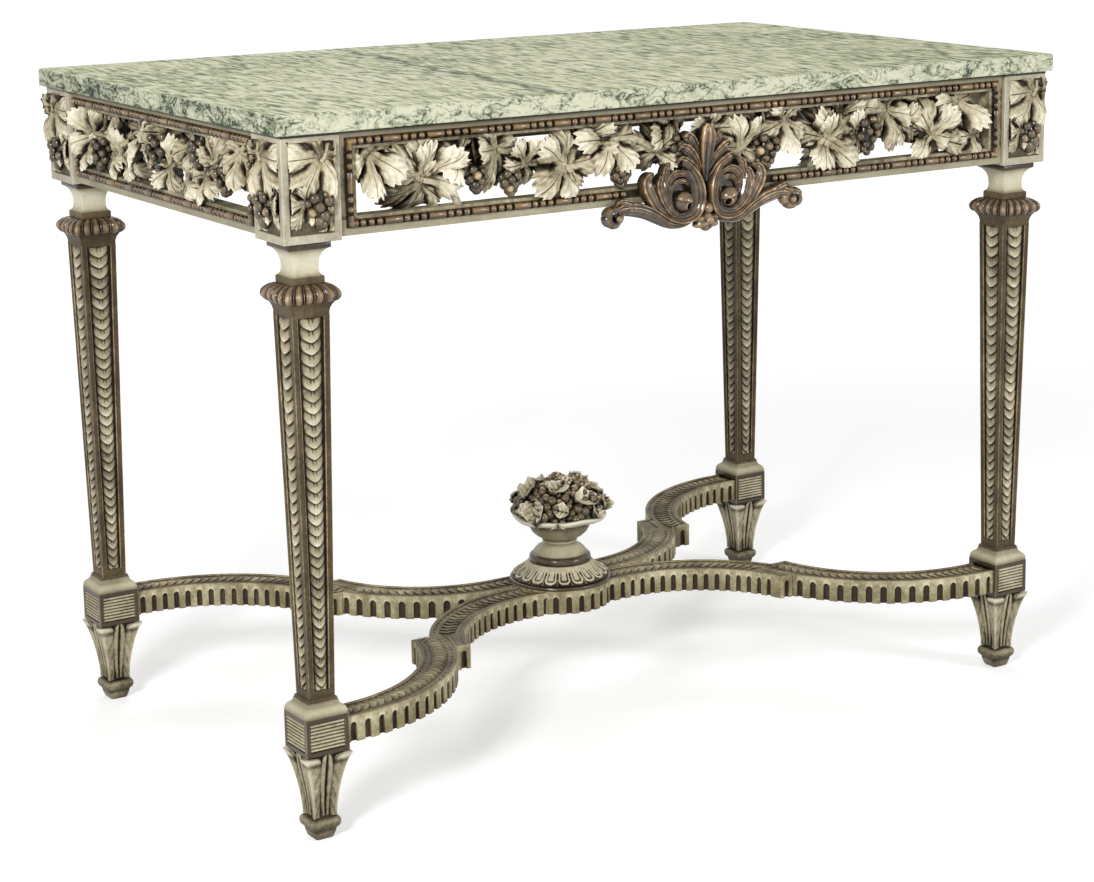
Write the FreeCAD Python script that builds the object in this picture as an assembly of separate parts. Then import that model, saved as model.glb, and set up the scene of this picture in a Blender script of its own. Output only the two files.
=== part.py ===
import FreeCAD, Part
import math
import os
from FreeCAD import Vector

# Centre table: a loose marble top on a carved and painted wooden frame.
# Millimetres, +Z up. The origin is on the floor under the middle of the table.
# X runs along the length and the front faces -Y.

# Overall sizes
table_height = 800.0
frame_length = 1056.0
frame_width = 631.0

# Marble top
marble_thickness = 21.0
marble_overhang = 8.0
marble_corner_round = 6.0
marble_top_round = 3.0
marble_under_round = 1.5

# Corner blocks over the legs
block_size = 67.0
block_height = 114.0
block_panel_border = 8.0
block_panel_depth = 3.0
block_leaf_tip = -112.0  # degrees
block_crest_tip = 110.0  # degrees

# Rails: an upper and a lower bar on each side, tenoned into the blocks
rail_setback = 4.0
rail_thickness = 26.0
rail_height = 111.0
bar_height = 17.0
tenon_length = 28.0
tenon_thickness = 9.0
tenon_shoulder = 3.0
joint_clearance = 0.2

# Pierced vine panels, held by tongues in the bars
panel_thickness = 20.0
panel_edge = 3.0
panel_stile = 21.0
tongue_height = 4.0
tongue_thickness = 6.0
tongue_setback = 9.0
stem_width = 7.0
stem_front = 4.5
stem_depth = 9.0
leaf_rim = 2.0
leaf_crown = 7.0
leaf_back = 10.0
leaf_back_step = 0.4
leaf_heart = 0.22  # share of a leaf's length where its crown stands
grape_bunch_width = 24.0
grape_depth = 9.0

# Bead and reel moulding round each panel
bead_width = 7.5
bead_proud = 4.2
bead_margin = 8.5

# Cartouche on the two long sides
cartouche_drop = 38.0
cartouche_rise = 86.0
cartouche_half_span = 140.0
cartouche_depth = 24.0
cartouche_rim = 9.0
cartouche_bead_gap = 100.0

# Legs
abacus_width = 51.0
abacus_height = 8.0
neck_width = 30.0
neck_height = 30.0
neck_flare = 8.5
neck_foot_flare = 3.0
neck_fillet_width = 39.3
neck_fillet_height = 8.0
collar_width = 71.0
collar_height = 19.0
collar_lobes = 5
collar_groove = 3.2
collar_under_inset = 3.0
collar_shoulder_inset = 5.0
collar_crown_inset = 9.0
cavetto_height = 13.0
cavetto_flare = 5.0
shaft_top_width = 44.2
shaft_bottom_width = 30.8
shaft_panel_border = 6.5
shaft_panel_depth = 2.5
shaft_panel_margin = 9.0
shaft_fillet_width = 35.2
shaft_fillet_height = 3.0

# Plinth blocks, which hold the stretcher between legs and feet
plinth_width = 52.0
plinth_height = 42.0
ogee_height = 16.0
ogee_step = 2.0
ogee_hollow = 3.5
ogee_lip = 1.0
ogee_lip_height = 2.0
plinth_panel_border = 6.5
plinth_panel_depth = 2.0

# Feet
foot_height = 103.0
foot_leaf_width = 52.0
foot_leaf_lip = 6.0
foot_waist_width = 32.0
foot_ankle_width = 24.0
bun_width = 37.0
bun_height = 13.0
sole_width = 25.0
sole_height = 12.0

# Stretcher: four serpentine arms and a round hub
arm_width = 43.0
arm_height = 30.0
arm_bottom = 108.5
arm_lead_leg = 10.0
arm_lead_hub = 11.0
arm_gap = 4.0
break_x = 254.0
break_y = 136.5
break_jog = 18.4
break_length = 48.0
arm_border = 9.0
arm_channel_depth = 1.5
flute_pitch = 16.5
flute_width = 7.5
flute_depth = 3.0
flute_headroom = 8.0
hub_radius = 64.0

# Finial on the hub
base_foot_radius = 65.0
base_foot_height = 6.0
base_foot_step = 3.0
base_leaf_radius = 42.0
base_leaf_height = 18.0
base_leaf_swell = 12.0
base_ring_radius = 39.0
base_ring_height = 11.0
base_ring_round = 3.0
base_dome_radius = 34.0
base_dome_height = 13.0
finial_stem_radius = 20.0
bowl_foot_radius = 28.0
bowl_foot_height = 4.0
bowl_swell = 10.0
bowl_height = 36.0
bowl_rim_radius = 60.0
bowl_rim_height = 5.0
bowl_dish_depth = 7.0
bowl_dish_radius = 48.0
bowl_dish_slope = 8.0
fruit_radius = 60.0
fruit_height = 62.0

# Dowels
leg_dowel_radius = 8.0
leg_dowel_reach = 30.0
foot_dowel_reach = 40.0
stretcher_dowel_radius = 5.0
stretcher_dowel_in_plinth = 14.0
stretcher_dowel_in_arm = 26.0
stretcher_dowel_in_hub = 20.0
finial_dowel_radius = 6.0
finial_dowel_in_hub = 24.0
finial_dowel_in_bowl = 16.0
dowel_end_gap = 1.0

# Levels and centres that follow from the sizes above
half_length = frame_length / 2
half_width = frame_width / 2
frame_top = table_height - marble_thickness
block_bottom = frame_top - block_height
rail_bottom = frame_top - rail_height
opening_bottom = rail_bottom + bar_height
opening_top = frame_top - bar_height
leg_x = half_length - block_size / 2
leg_y = half_width - block_size / 2
plinth_top = foot_height + plinth_height + ogee_height
arm_top = arm_bottom + arm_height
arm_middle = arm_bottom + arm_height / 2
arm_offset = (arm_width + arm_gap) / 2
origin = Vector(0, 0, 0)
up = Vector(0, 0, 1)

SIDES = {
    "front": (0, half_width - rail_setback, frame_length - 2 * block_size),
    "right": (90, half_length - rail_setback, frame_width - 2 * block_size),
    "back": (180, half_width - rail_setback, frame_length - 2 * block_size),
    "left": (270, half_length - rail_setback, frame_width - 2 * block_size),
}
CORNERS = {
    "front_left": (-1, -1),
    "front_right": (1, -1),
    "back_left": (-1, 1),
    "back_right": (1, 1),
}

# Vine of a long side: places are shares of the opening's half length and half height,
# then the direction of the tip in degrees and the size as a share of the opening's height.
LONG_LEAVES = [
    (-0.935, 0.55, -115, 0.56), (-0.83, -0.10, 149, 0.62), (-0.80, -0.10, 38, 0.66),
    (-0.82, -0.16, -160, 0.66), (-0.61, 0.45, -118, 0.56), (-0.41, -0.10, 143, 0.68),
    (-0.39, -0.06, 62, 0.50), (-0.275, 0.38, -121, 0.56), (-0.205, 0.15, 100, 0.44),
    (0.205, 0.05, 84, 0.44), (0.285, 0.45, -95, 0.50), (0.41, -0.06, 103, 0.52),
    (0.42, -0.06, 34, 0.62), (0.42, -0.14, -34, 0.60), (0.63, 0.48, -71, 0.60),
    (0.79, -0.25, 112, 0.66), (0.80, -0.36, -20, 0.60), (0.885, 0.60, -44, 0.68),
]
LONG_BUNCHES = [
    (-0.672, 0.30, 0.44), (-0.58, 0.10, 0.42), (-0.25, -0.10, 0.42),
    (0.245, 0.25, 0.58), (0.557, 0.55, 0.68),
]
LONG_STEM = [
    (-1.02, 0.35), (-0.93, 0.58), (-0.83, -0.10), (-0.72, -0.85), (-0.61, 0.50), (-0.50, 0.30),
    (-0.42, -0.20), (-0.36, -0.85), (-0.275, 0.42), (-0.19, 0.10), (-0.09, -0.80), (0.06, -0.75),
    (0.19, 0.05), (0.285, 0.50), (0.36, -0.80), (0.43, -0.10), (0.53, 0.55), (0.63, 0.52),
    (0.72, -0.70), (0.80, -0.30), (0.89, 0.62), (1.02, 0.25),
]
SHORT_LEAVES = [
    (-0.90, -0.35, -120, 0.52), (-0.84, 0.25, 137, 0.60), (-0.47, -0.25, 118, 0.66),
    (-0.24, 0.50, -60, 0.68), (-0.12, -0.20, -150, 0.52), (0.30, -0.50, 100, 0.80),
    (0.38, -0.40, -35, 0.52), (0.62, 0.40, 42, 0.52), (0.92, 0.58, -82, 0.70),
]
SHORT_BUNCHES = [(-0.68, 0.20, 0.50), (0.05, 0.60, 0.66), (0.47, 0.70, 0.40), (0.76, 0.40, 0.54)]
SHORT_STEM = [
    (-1.03, 0.20), (-0.86, 0.25), (-0.70, 0.30), (-0.58, -0.70), (-0.47, -0.25), (-0.26, 0.55),
    (0.02, 0.62), (0.18, -0.70), (0.30, -0.50), (0.47, 0.66), (0.63, 0.40), (0.76, 0.42),
    (0.93, 0.60), (1.03, 0.30),
]

# Half outline of a vine leaf: degrees from the tip and share of the leaf's length
LEAF_HALF = [(0, 1.0), (15, 0.74), (36, 0.50), (62, 0.88), (96, 0.48), (128, 0.66), (180, 0.18)]
# Half outline of the cartouche's middle leaf: shares of its half width and of its rise above the rail
ACANTHUS_HALF = [
    (0.0, 1.0), (0.34, 0.86), (0.46, 0.72), (0.72, 0.66), (0.66, 0.52), (1.0, 0.38), (0.9, 0.2), (0.55, 0.0),
]
# Half outline of a cartouche's arm: shares of the cartouche's half span and of its drop
ARM_SWEEP = [
    (0.2, 0.18), (0.42, 0.30), (0.68, 0.62), (0.86, 0.58), (0.94, 0.22), (1.0, 0.42), (0.98, 0.78),
    (0.88, 0.98), (0.74, 1.10), (0.56, 1.26), (0.36, 1.40),
]
acanthus_half_width = 38.0


def box(x0, x1, y0, y1, z0, z1):
    """Box between two corners."""
    return Part.makeBox(x1 - x0, y1 - y0, z1 - z0, Vector(x0, y0, z0))


def peg(x, y, z0, z1, radius):
    """Upright round peg."""
    return Part.makeCylinder(radius, z1 - z0, Vector(x, y, z0), up)


def turned_about_z(shape, degrees):
    """Copy of a shape turned about the Z axis."""
    copy = shape.copy()
    copy.rotate(origin, up, degrees)
    return copy


def moved(shape, x, y, z):
    """Copy of a shape moved by x, y, z."""
    copy = shape.copy()
    copy.translate(Vector(x, y, z))
    return copy


def mirrored(shape, sign_x, sign_y):
    """Copy of a shape mirrored from the +X +Y corner to the corner with the given signs."""
    if sign_x < 0:
        shape = shape.mirror(origin, Vector(1, 0, 0))
    if sign_y < 0:
        shape = shape.mirror(origin, Vector(0, 1, 0))
    return shape


def profile_edges(points):
    """Edges in the XZ plane; a step that is a pair of points is an arc through the first one."""
    edges = []
    here = Vector(points[0][0], 0, points[0][1])
    for step in points[1:]:
        if isinstance(step[0], tuple):
            middle = Vector(step[0][0], 0, step[0][1])
            end = Vector(step[1][0], 0, step[1][1])
            edges.append(Part.Arc(here, middle, end).toShape())
        else:
            end = Vector(step[0], 0, step[1])
            edges.append(Part.LineSegment(here, end).toShape())
        here = end
    return edges


def turned(points):
    """Solid of revolution of a profile of radius and height, closed along the Z axis."""
    edges = profile_edges(points + [points[0]])
    return Part.Face(Part.Wire(edges)).revolve(origin, up, 360)


def squared(points):
    """Square-section solid whose four faces follow one profile of half width and height."""
    right = profile_edges(points)
    left = [edge.mirror(origin, Vector(1, 0, 0)) for edge in right]
    low, bottom = points[0]
    high, top = points[-1][1] if isinstance(points[-1][0], tuple) else points[-1]
    ends = profile_edges([(-low, bottom), (low, bottom)]) + profile_edges([(-high, top), (high, top)])
    face = Part.Face(Part.Wire(Part.__sortEdges__(right + left + ends)))
    reach = face.BoundBox.XMax + 1
    slab = moved(face.extrude(Vector(0, 2 * reach, 0)), 0, -reach, 0)
    return slab.common(turned_about_z(slab, 90))


def polygon_wire(points):
    """Closed wire through 3D points."""
    return Part.makePolygon(points + [points[0]])


def facet_solid(faces):
    """Solid closed by flat polygon faces, each given by its points."""
    shell = Part.makeShell([Part.Face(polygon_wire(points)) for points in faces])
    solid = Part.makeSolid(shell)
    if solid.Volume < 0:
        solid.reverse()
    return solid


def fan_solid(outline, apex, rim_y, apex_y, back_y):
    """Carved lobe: a flat back, a rim of the given outline and facets rising to an apex towards -Y."""
    count = len(outline)
    rim = [Vector(x, rim_y, z) for x, z in outline]
    back = [Vector(x, back_y, z) for x, z in outline]
    peak = Vector(apex[0], apex_y, apex[1])
    faces = [[rim[i], rim[(i + 1) % count], peak] for i in range(count)]
    faces += [[rim[i], rim[(i + 1) % count], back[(i + 1) % count], back[i]] for i in range(count)]
    return facet_solid(faces + [back])


def leaf(x, z, direction, size, back_y):
    """Five-lobed vine leaf with its stalk at x, z and its tip in the given direction."""
    half = LEAF_HALF[1:-1]
    polar = LEAF_HALF + [(-angle, share) for angle, share in reversed(half)]
    outline = []
    for angle, share in polar:
        turn = math.radians(direction + angle)
        outline.append((x + size * share * math.cos(turn), z + size * share * math.sin(turn)))
    tip = math.radians(direction)
    apex = (x + leaf_heart * size * math.cos(tip), z + leaf_heart * size * math.sin(tip))
    return fan_solid(outline, apex, -leaf_rim, -leaf_rim - leaf_crown, back_y)


def grape_bunch(x, z, length, back_y):
    """Hanging bunch from x, z: rings of knobs that narrow downwards."""
    rings = [(0.0, 0.55), (0.22, 1.0), (0.50, 0.86), (0.78, 0.52)]
    knobs = 8
    top = Vector(x, back_y, z + 0.12 * length)
    bottom = Vector(x, back_y, z - length)
    loops = []
    for level, (drop, share) in enumerate(rings):
        loop = []
        for k in range(knobs):
            angle = 2 * math.pi * (k + 0.5 * level) / knobs
            radius = share * grape_bunch_width / 2 * (1.0 if k % 2 else 0.78)
            depth = grape_depth / 12 * radius * math.sin(angle)
            loop.append(Vector(x + radius * math.cos(angle), back_y + depth, z - drop * length))
        loops.append(loop)
    faces = [[loops[0][k], loops[0][(k + 1) % knobs], top] for k in range(knobs)]
    for upper, lower in zip(loops, loops[1:]):
        for k in range(knobs):
            n = (k + 1) % knobs
            faces.append([upper[k], upper[n], lower[k]])
            faces.append([upper[n], lower[k], lower[n]])
    faces += [[loops[-1][k], loops[-1][(k + 1) % knobs], bottom] for k in range(knobs)]
    return facet_solid(faces)


def stem(points):
    """Vine stem: a ribbon of even width along a smooth curve through points, cut from the board."""
    curve = Part.BSplineCurve()
    curve.interpolate([Vector(x, 0, z) for x, z in points])
    samples = 3 * (len(points) - 1)
    first, last = curve.FirstParameter, curve.LastParameter
    left, right = [], []
    for i in range(samples + 1):
        t = first + (last - first) * i / samples
        here = curve.value(t)
        along = Vector(*curve.tangent(t)[0])
        across = Vector(-along.z, 0, along.x) * (stem_width / 2)
        left.append(here + across)
        right.append(here - across)
    face = Part.Face(polygon_wire(left + right[::-1]))
    return moved(face.extrude(Vector(0, stem_depth, 0)), 0, stem_front, 0)


def marble_top():
    """Loose slab with rounded corners and softened edges."""
    x = half_length + marble_overhang
    y = half_width + marble_overhang
    slab = box(-x, x, -y, y, frame_top, table_height)
    corners = [edge for edge in slab.Edges if abs(edge.BoundBox.ZLength - marble_thickness) < 0.01]
    slab = slab.makeFillet(marble_corner_round, corners)
    rim = [edge for edge in slab.Edges if edge.BoundBox.ZMin > table_height - 0.01]
    slab = slab.makeFillet(marble_top_round, rim)
    under = [edge for edge in slab.Edges if edge.BoundBox.ZMax < frame_top + 0.01]
    return slab.makeFillet(marble_under_round, under)


def tenons(span, bottom, gap):
    """Tenons at both ends of a bar; with a gap they are the mortises that take them."""
    middle = rail_thickness / 2
    half = tenon_thickness / 2 + gap
    low = bottom + tenon_shoulder - gap
    high = bottom + bar_height - tenon_shoulder + gap
    reach = span / 2 + tenon_length + 2 * gap
    return [
        box(span / 2, reach, middle - half, middle + half, low, high),
        box(-reach, -span / 2, middle - half, middle + half, low, high),
    ]


def groove(span, bottom, height):
    """Long slot for a panel's tongue, wider than the tongue by the joint clearance."""
    y0 = tongue_setback - joint_clearance
    y1 = tongue_setback + tongue_thickness + joint_clearance
    return box(-span / 2 - 1, span / 2 + 1, y0, y1, bottom, bottom + height)


def bar(span, bottom, groove_bottom):
    """Rail bar with a tenon at each end and a groove for the panel."""
    body = box(-span / 2, span / 2, 0, rail_thickness, bottom, bottom + bar_height)
    body = body.cut(groove(span, groove_bottom, tongue_height + joint_clearance))
    return body.fuse(tenons(span, bottom, 0)).removeSplitter()


def vine_panel(span, leaves, bunches, stem_points):
    """Pierced board: a plain border with tongues, and stems, leaves and grapes left standing in it."""
    x = span / 2
    inner_x = x - panel_stile
    low = opening_bottom + panel_edge
    high = opening_top - panel_edge
    middle = (low + high) / 2
    rise = (high - low) / 2
    border = box(-x, x, 0, panel_thickness, opening_bottom, opening_top)
    border = border.cut(box(-inner_x, inner_x, -1, panel_thickness + 1, low, high))
    y0, y1 = tongue_setback, tongue_setback + tongue_thickness
    tongues = [
        box(-x, x, y0, y1, opening_top, opening_top + tongue_height),
        box(-x, x, y0, y1, opening_bottom - tongue_height, opening_bottom),
    ]
    carving = [stem([(u * inner_x, middle + w * rise) for u, w in stem_points])]
    for index, (u, w, direction, share) in enumerate(leaves):
        back_y = leaf_back + leaf_back_step * (index % 5)
        carving.append(leaf(u * inner_x, middle + w * rise, direction, share * 2 * rise, back_y))
    grape_back = stem_front + stem_depth / 3
    for u, w, share in bunches:
        carving.append(grape_bunch(u * inner_x, middle + w * rise, share * 2 * rise, grape_back))
    window = box(-inner_x - panel_edge / 2, inner_x + panel_edge / 2, -panel_thickness, panel_thickness,
                 low - panel_edge / 2, high + panel_edge / 2)
    carving = [piece.common(window) for piece in carving]
    return border.fuse(tongues + carving)


def bead_strip(length):
    """Straight half-round strip along X from the origin, flat on the plane Y = 0."""
    half = bead_width / 2
    section = Part.Wire([
        Part.LineSegment(Vector(0, 0, -half), Vector(0, 0, half)).toShape(),
        Part.Arc(Vector(0, 0, half), Vector(0, -bead_proud, 0), Vector(0, 0, -half)).toShape(),
    ])
    return Part.Face(section).extrude(Vector(length, 0, 0))


def bead_frame(span, has_cartouche):
    """Moulding round a panel: two rows and two columns; a cartouche breaks the lower row."""
    x0 = span / 2 - bead_margin - bead_width / 2
    low = rail_bottom + bead_margin + bead_width / 2
    high = frame_top - bead_margin - bead_width / 2
    strips = [moved(bead_strip(2 * x0 + bead_width), -x0 - bead_width / 2, 0, high)]
    if has_cartouche:
        length = x0 + bead_width / 2 - cartouche_bead_gap
        strips.append(moved(bead_strip(length), -x0 - bead_width / 2, 0, low))
        strips.append(moved(bead_strip(length), cartouche_bead_gap, 0, low))
    else:
        strips.append(moved(bead_strip(2 * x0 + bead_width), -x0 - bead_width / 2, 0, low))
    upright = bead_strip(high - low - bead_width)
    upright.rotate(origin, Vector(0, 1, 0), -90)
    strips += [moved(upright, x, 0, low + bead_width / 2) for x in (-x0, x0)]
    return Part.makeCompound(strips)


def ring_points(centre, radius, count):
    """Points at an even pitch round a circle in the XZ plane."""
    turns = [math.radians(360 / count * k) for k in range(count)]
    return [(centre[0] + radius * math.cos(a), centre[1] + radius * math.sin(a)) for a in turns]


def cartouche():
    """Acanthus leaf between two volutes, with scroll arms and a bud under the rail."""
    rail_face = 0.0
    leaf_foot = rail_bottom
    half = [(u * acanthus_half_width, leaf_foot + w * cartouche_rise) for u, w in ACANTHUS_HALF]
    outline = half + [(-x, z) for x, z in reversed(half[1:])]
    heart = (0, leaf_foot + 0.4 * cartouche_rise)
    pieces = [fan_solid(outline, heart, -cartouche_rim, -cartouche_depth, rail_face)]
    volute_x = 0.24 * cartouche_half_span
    volute_radius = 0.72 * cartouche_drop
    eye_radius = 0.42 * volute_radius
    bud_radius = 0.09 * cartouche_half_span
    low = rail_bottom - cartouche_drop
    for sign in (-1, 1):
        centre = (sign * volute_x, rail_bottom)
        scroll = ring_points(centre, volute_radius, 12)
        eye = ring_points(centre, eye_radius, 6)
        pieces.append(fan_solid(scroll, centre, -cartouche_rim, -0.7 * cartouche_depth, rail_face))
        pieces.append(fan_solid(eye, centre, -0.75 * cartouche_depth, -0.95 * cartouche_depth, rail_face))
        arm = [(sign * u * cartouche_half_span, low + w * cartouche_drop) for u, w in ARM_SWEEP]
        spine = (sign * 0.62 * cartouche_half_span, low + 0.9 * cartouche_drop)
        pieces.append(fan_solid(arm, spine, -cartouche_rim, -0.55 * cartouche_depth, rail_face))
    bud_middle = (0, low + bud_radius)
    bud = ring_points(bud_middle, bud_radius, 8)
    neck = [
        (-bud_radius / 2, low + bud_radius), (bud_radius / 2, low + bud_radius),
        (bud_radius, rail_bottom), (-bud_radius, rail_bottom),
    ]
    neck_middle = (0, (low + rail_bottom) / 2)
    pieces.append(fan_solid(bud, bud_middle, -cartouche_rim, -0.7 * cartouche_depth, rail_face))
    pieces.append(fan_solid(neck, neck_middle, -cartouche_rim, -0.6 * cartouche_depth, rail_face))
    return pieces[0].fuse(pieces[1:])


def block_panel(size_across, bottom, top, border, depth, face_y):
    """Shallow rectangular sinking in a face that looks towards -Y."""
    half = size_across / 2 - border
    return box(-half, half, face_y - 1, face_y + depth, bottom + border, top - border)


def corner_block():
    """Block of the +X +Y corner, centred on the Z axis: sunk panels, mortises and a dowel hole."""
    half = block_size / 2
    block = box(-half, half, -half, half, block_bottom, frame_top)
    sinking = block_panel(block_size, block_bottom, frame_top, block_panel_border, block_panel_depth, -half)
    cuts = [turned_about_z(sinking, 90), turned_about_z(sinking, 180)]
    long_span = frame_length - 2 * block_size
    short_span = frame_width - 2 * block_size
    for bottom in (opening_top, rail_bottom):
        long_tenon = moved(tenons(long_span, bottom, joint_clearance)[1], 0, -half_width + rail_setback, 0)
        short_tenon = moved(tenons(short_span, bottom, joint_clearance)[0], 0, -half_length + rail_setback, 0)
        cuts.append(moved(turned_about_z(long_tenon, 180), -leg_x, -leg_y, 0))
        cuts.append(moved(turned_about_z(short_tenon, 90), -leg_x, -leg_y, 0))
    radius = leg_dowel_radius + joint_clearance
    cuts.append(peg(0, 0, block_bottom - 1, block_bottom + leg_dowel_reach + dowel_end_gap, radius))
    return block.cut(cuts)


def corner_carving():
    """Vine leaf over a bunch of grapes on each outer face of the +X +Y block, centred on the Z axis."""
    half = block_size / 2
    middle = block_bottom + block_height / 2
    floor = block_panel_depth
    width = block_size - 2 * block_panel_border
    upper = leaf(0.10 * width, middle + 0.28 * block_height, block_leaf_tip, 0.98 * width, floor)
    crest = leaf(0.05 * width, middle + 0.20 * block_height, block_crest_tip, 0.42 * width, floor)
    lower = grape_bunch(0.16 * width, middle - 0.02 * block_height, 0.34 * block_height, 0)
    pad = box(-0.3 * width, 0.3 * width, 0, floor, middle - 0.30 * block_height, middle + 0.2 * block_height)
    side = width / 2 - joint_clearance
    inset = block_panel_border + joint_clearance
    window = box(-side, side, -block_size, floor, block_bottom + inset, frame_top - inset)
    carving = moved(upper.fuse([crest, lower, pad]).common(window), 0, -half, 0)
    return Part.makeCompound([turned_about_z(carving, 90), turned_about_z(carving, 180)])


def shaft_half_width(z, top, bottom):
    """Half width of the tapering shaft at a height."""
    share = (z - bottom) / (top - bottom)
    return (shaft_bottom_width + share * (shaft_top_width - shaft_bottom_width)) / 2


def leg():
    """Leg centred on the Z axis: abacus, hollow neck, gadrooned collar and tapering panelled shaft."""
    neck_top = block_bottom - abacus_height
    neck_bottom = neck_top - neck_height
    collar_top = neck_bottom - neck_fillet_height
    collar_bottom = collar_top - collar_height
    shaft_top = collar_bottom - cavetto_height
    shaft_bottom = plinth_top + shaft_fillet_height
    neck, fillet, collar = neck_width / 2, neck_fillet_width / 2, collar_width / 2
    shaft = shaft_top_width / 2
    throat = neck_bottom + 0.45 * neck_height
    profile = [
        (shaft_fillet_width / 2, plinth_top), (shaft_fillet_width / 2, shaft_bottom),
        (shaft_bottom_width / 2, shaft_bottom), (shaft, shaft_top),
        ((shaft + 0.3 * cavetto_flare, shaft_top + 0.6 * cavetto_height),
         (shaft + cavetto_flare, collar_bottom)),
        (collar - collar_under_inset, collar_bottom),
        ((collar, collar_bottom + 0.45 * collar_height),
         (collar - collar_shoulder_inset, collar_bottom + 0.8 * collar_height)),
        ((collar - collar_crown_inset, collar_bottom + 0.95 * collar_height), (fillet, collar_top)),
        (fillet, neck_bottom), (neck + neck_foot_flare, neck_bottom),
        ((neck + 0.3 * neck_foot_flare, neck_bottom + 0.2 * neck_height), (neck, throat)),
        ((neck + 0.25 * neck_flare, throat + 0.33 * neck_height), (neck + neck_flare, neck_top)),
        (abacus_width / 2, neck_top), (abacus_width / 2, block_bottom),
    ]
    body = squared(profile)
    hole = leg_dowel_radius + joint_clearance
    cuts = [
        peg(0, 0, block_bottom - leg_dowel_reach - dowel_end_gap, block_bottom + 1, hole),
        peg(0, 0, plinth_top - 1, plinth_top + foot_dowel_reach + dowel_end_gap, hole),
    ]
    rings = []
    for z in (shaft_bottom + shaft_panel_margin, shaft_top - shaft_panel_margin):
        y = shaft_half_width(z, shaft_top, shaft_bottom)
        x = y - shaft_panel_border
        inner_y = shaft_panel_depth - y
        rings.append(polygon_wire([
            Vector(-x, -y - 1, z), Vector(x, -y - 1, z), Vector(x, inner_y, z), Vector(-x, inner_y, z),
        ]))
    sinking = Part.makeLoft(rings, True, True)
    spacing = collar_width / collar_lobes
    for face in range(4):
        cuts.append(turned_about_z(sinking, 90 * face))
        for lobe in range(1, collar_lobes):
            x = -collar + lobe * spacing
            half_groove = collar_groove / 1.6
            notch = Part.Face(polygon_wire([
                Vector(x - half_groove, -collar - 1, collar_bottom),
                Vector(x + half_groove, -collar - 1, collar_bottom),
                Vector(x, collar_groove - collar, collar_bottom),
            ]))
            cuts.append(turned_about_z(notch.extrude(Vector(0, 0, collar_height)), 90 * face))
    return body.cut(cuts)


def plinth():
    """Plinth block of the +X +Y corner, centred on the Z axis: ogee top, sunk panels and dowel holes."""
    half = plinth_width / 2
    shoulder = foot_height + plinth_height
    fillet = shaft_fillet_width / 2
    body = squared([
        (half, foot_height), (half, shoulder), (half - ogee_step, shoulder),
        ((half - ogee_hollow, shoulder + 0.55 * ogee_height),
         (fillet + ogee_lip, plinth_top - ogee_lip_height)),
        (fillet + ogee_lip, plinth_top),
    ])
    sinking = block_panel(plinth_width, foot_height, shoulder, plinth_panel_border, plinth_panel_depth, -half)
    cuts = [turned_about_z(sinking, degrees) for degrees in (0, 90, 180)]
    cuts.append(peg(0, 0, foot_height - 1, plinth_top + 1, leg_dowel_radius + joint_clearance))
    reach = stretcher_dowel_in_plinth + dowel_end_gap
    cuts.append(Part.makeCylinder(stretcher_dowel_radius + joint_clearance, reach + 1,
                                  Vector(-half - 1, 0, arm_middle), Vector(1, 0, 0)))
    return body.cut(cuts)


def leaf_section(width, z):
    """Eight-lobed section of the foot's leaf sheath at a height."""
    points = []
    for k in range(16):
        angle = math.radians(22.5 * k)
        side = width / 2 / max(abs(math.cos(angle)), abs(math.sin(angle)))
        share = 0.86 if k % 2 else (0.92 if k % 4 else 1.0)
        points.append(Vector(side * share * math.cos(angle), side * share * math.sin(angle), z))
    return polygon_wire(points)


def foot():
    """Foot centred on the Z axis: a tapering sheath of leaves on a square bun and sole."""
    ankle = sole_height + bun_height
    lip = foot_height - foot_leaf_lip
    sections = [
        leaf_section(foot_ankle_width, ankle), leaf_section(foot_waist_width, (ankle + lip) / 2),
        leaf_section(foot_leaf_width, lip), leaf_section(foot_leaf_width - foot_leaf_lip, foot_height),
    ]
    sheath = Part.makeLoft(sections, True, True)
    sole, bun, neck = sole_width / 2, bun_width / 2, foot_ankle_width / 2
    pad = squared([
        (sole, 0), (sole, sole_height),
        ((bun, sole_height + 0.5 * bun_height), (neck, ankle)),
    ])
    floor = foot_height - foot_dowel_reach - dowel_end_gap
    hole = peg(0, 0, floor, foot_height + 1, leg_dowel_radius + joint_clearance)
    return sheath.fuse(pad).cut(hole)


# Plan of the stretcher arm in the +X +Y corner: two arcs that jog past each other at the break
plinth_face = leg_x - plinth_width / 2
leg_arc_start = plinth_face - arm_lead_leg
leg_arc_run = leg_arc_start - break_x - break_jog / 2
leg_arc_drop = leg_y - break_y
leg_arc_radius = (leg_arc_run ** 2 + leg_arc_drop ** 2) / (2 * leg_arc_drop)
leg_arc_y = leg_y - leg_arc_radius
hub_arc_start = hub_radius + arm_lead_hub
hub_arc_run = break_x - break_jog / 2 - hub_arc_start
hub_arc_drop = break_y - arm_offset
hub_arc_radius = (hub_arc_run ** 2 + hub_arc_drop ** 2) / (2 * hub_arc_drop)
hub_arc_y = arm_offset + hub_arc_radius
break_low = break_y - break_length / 2
break_high = break_y + break_length / 2


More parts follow.
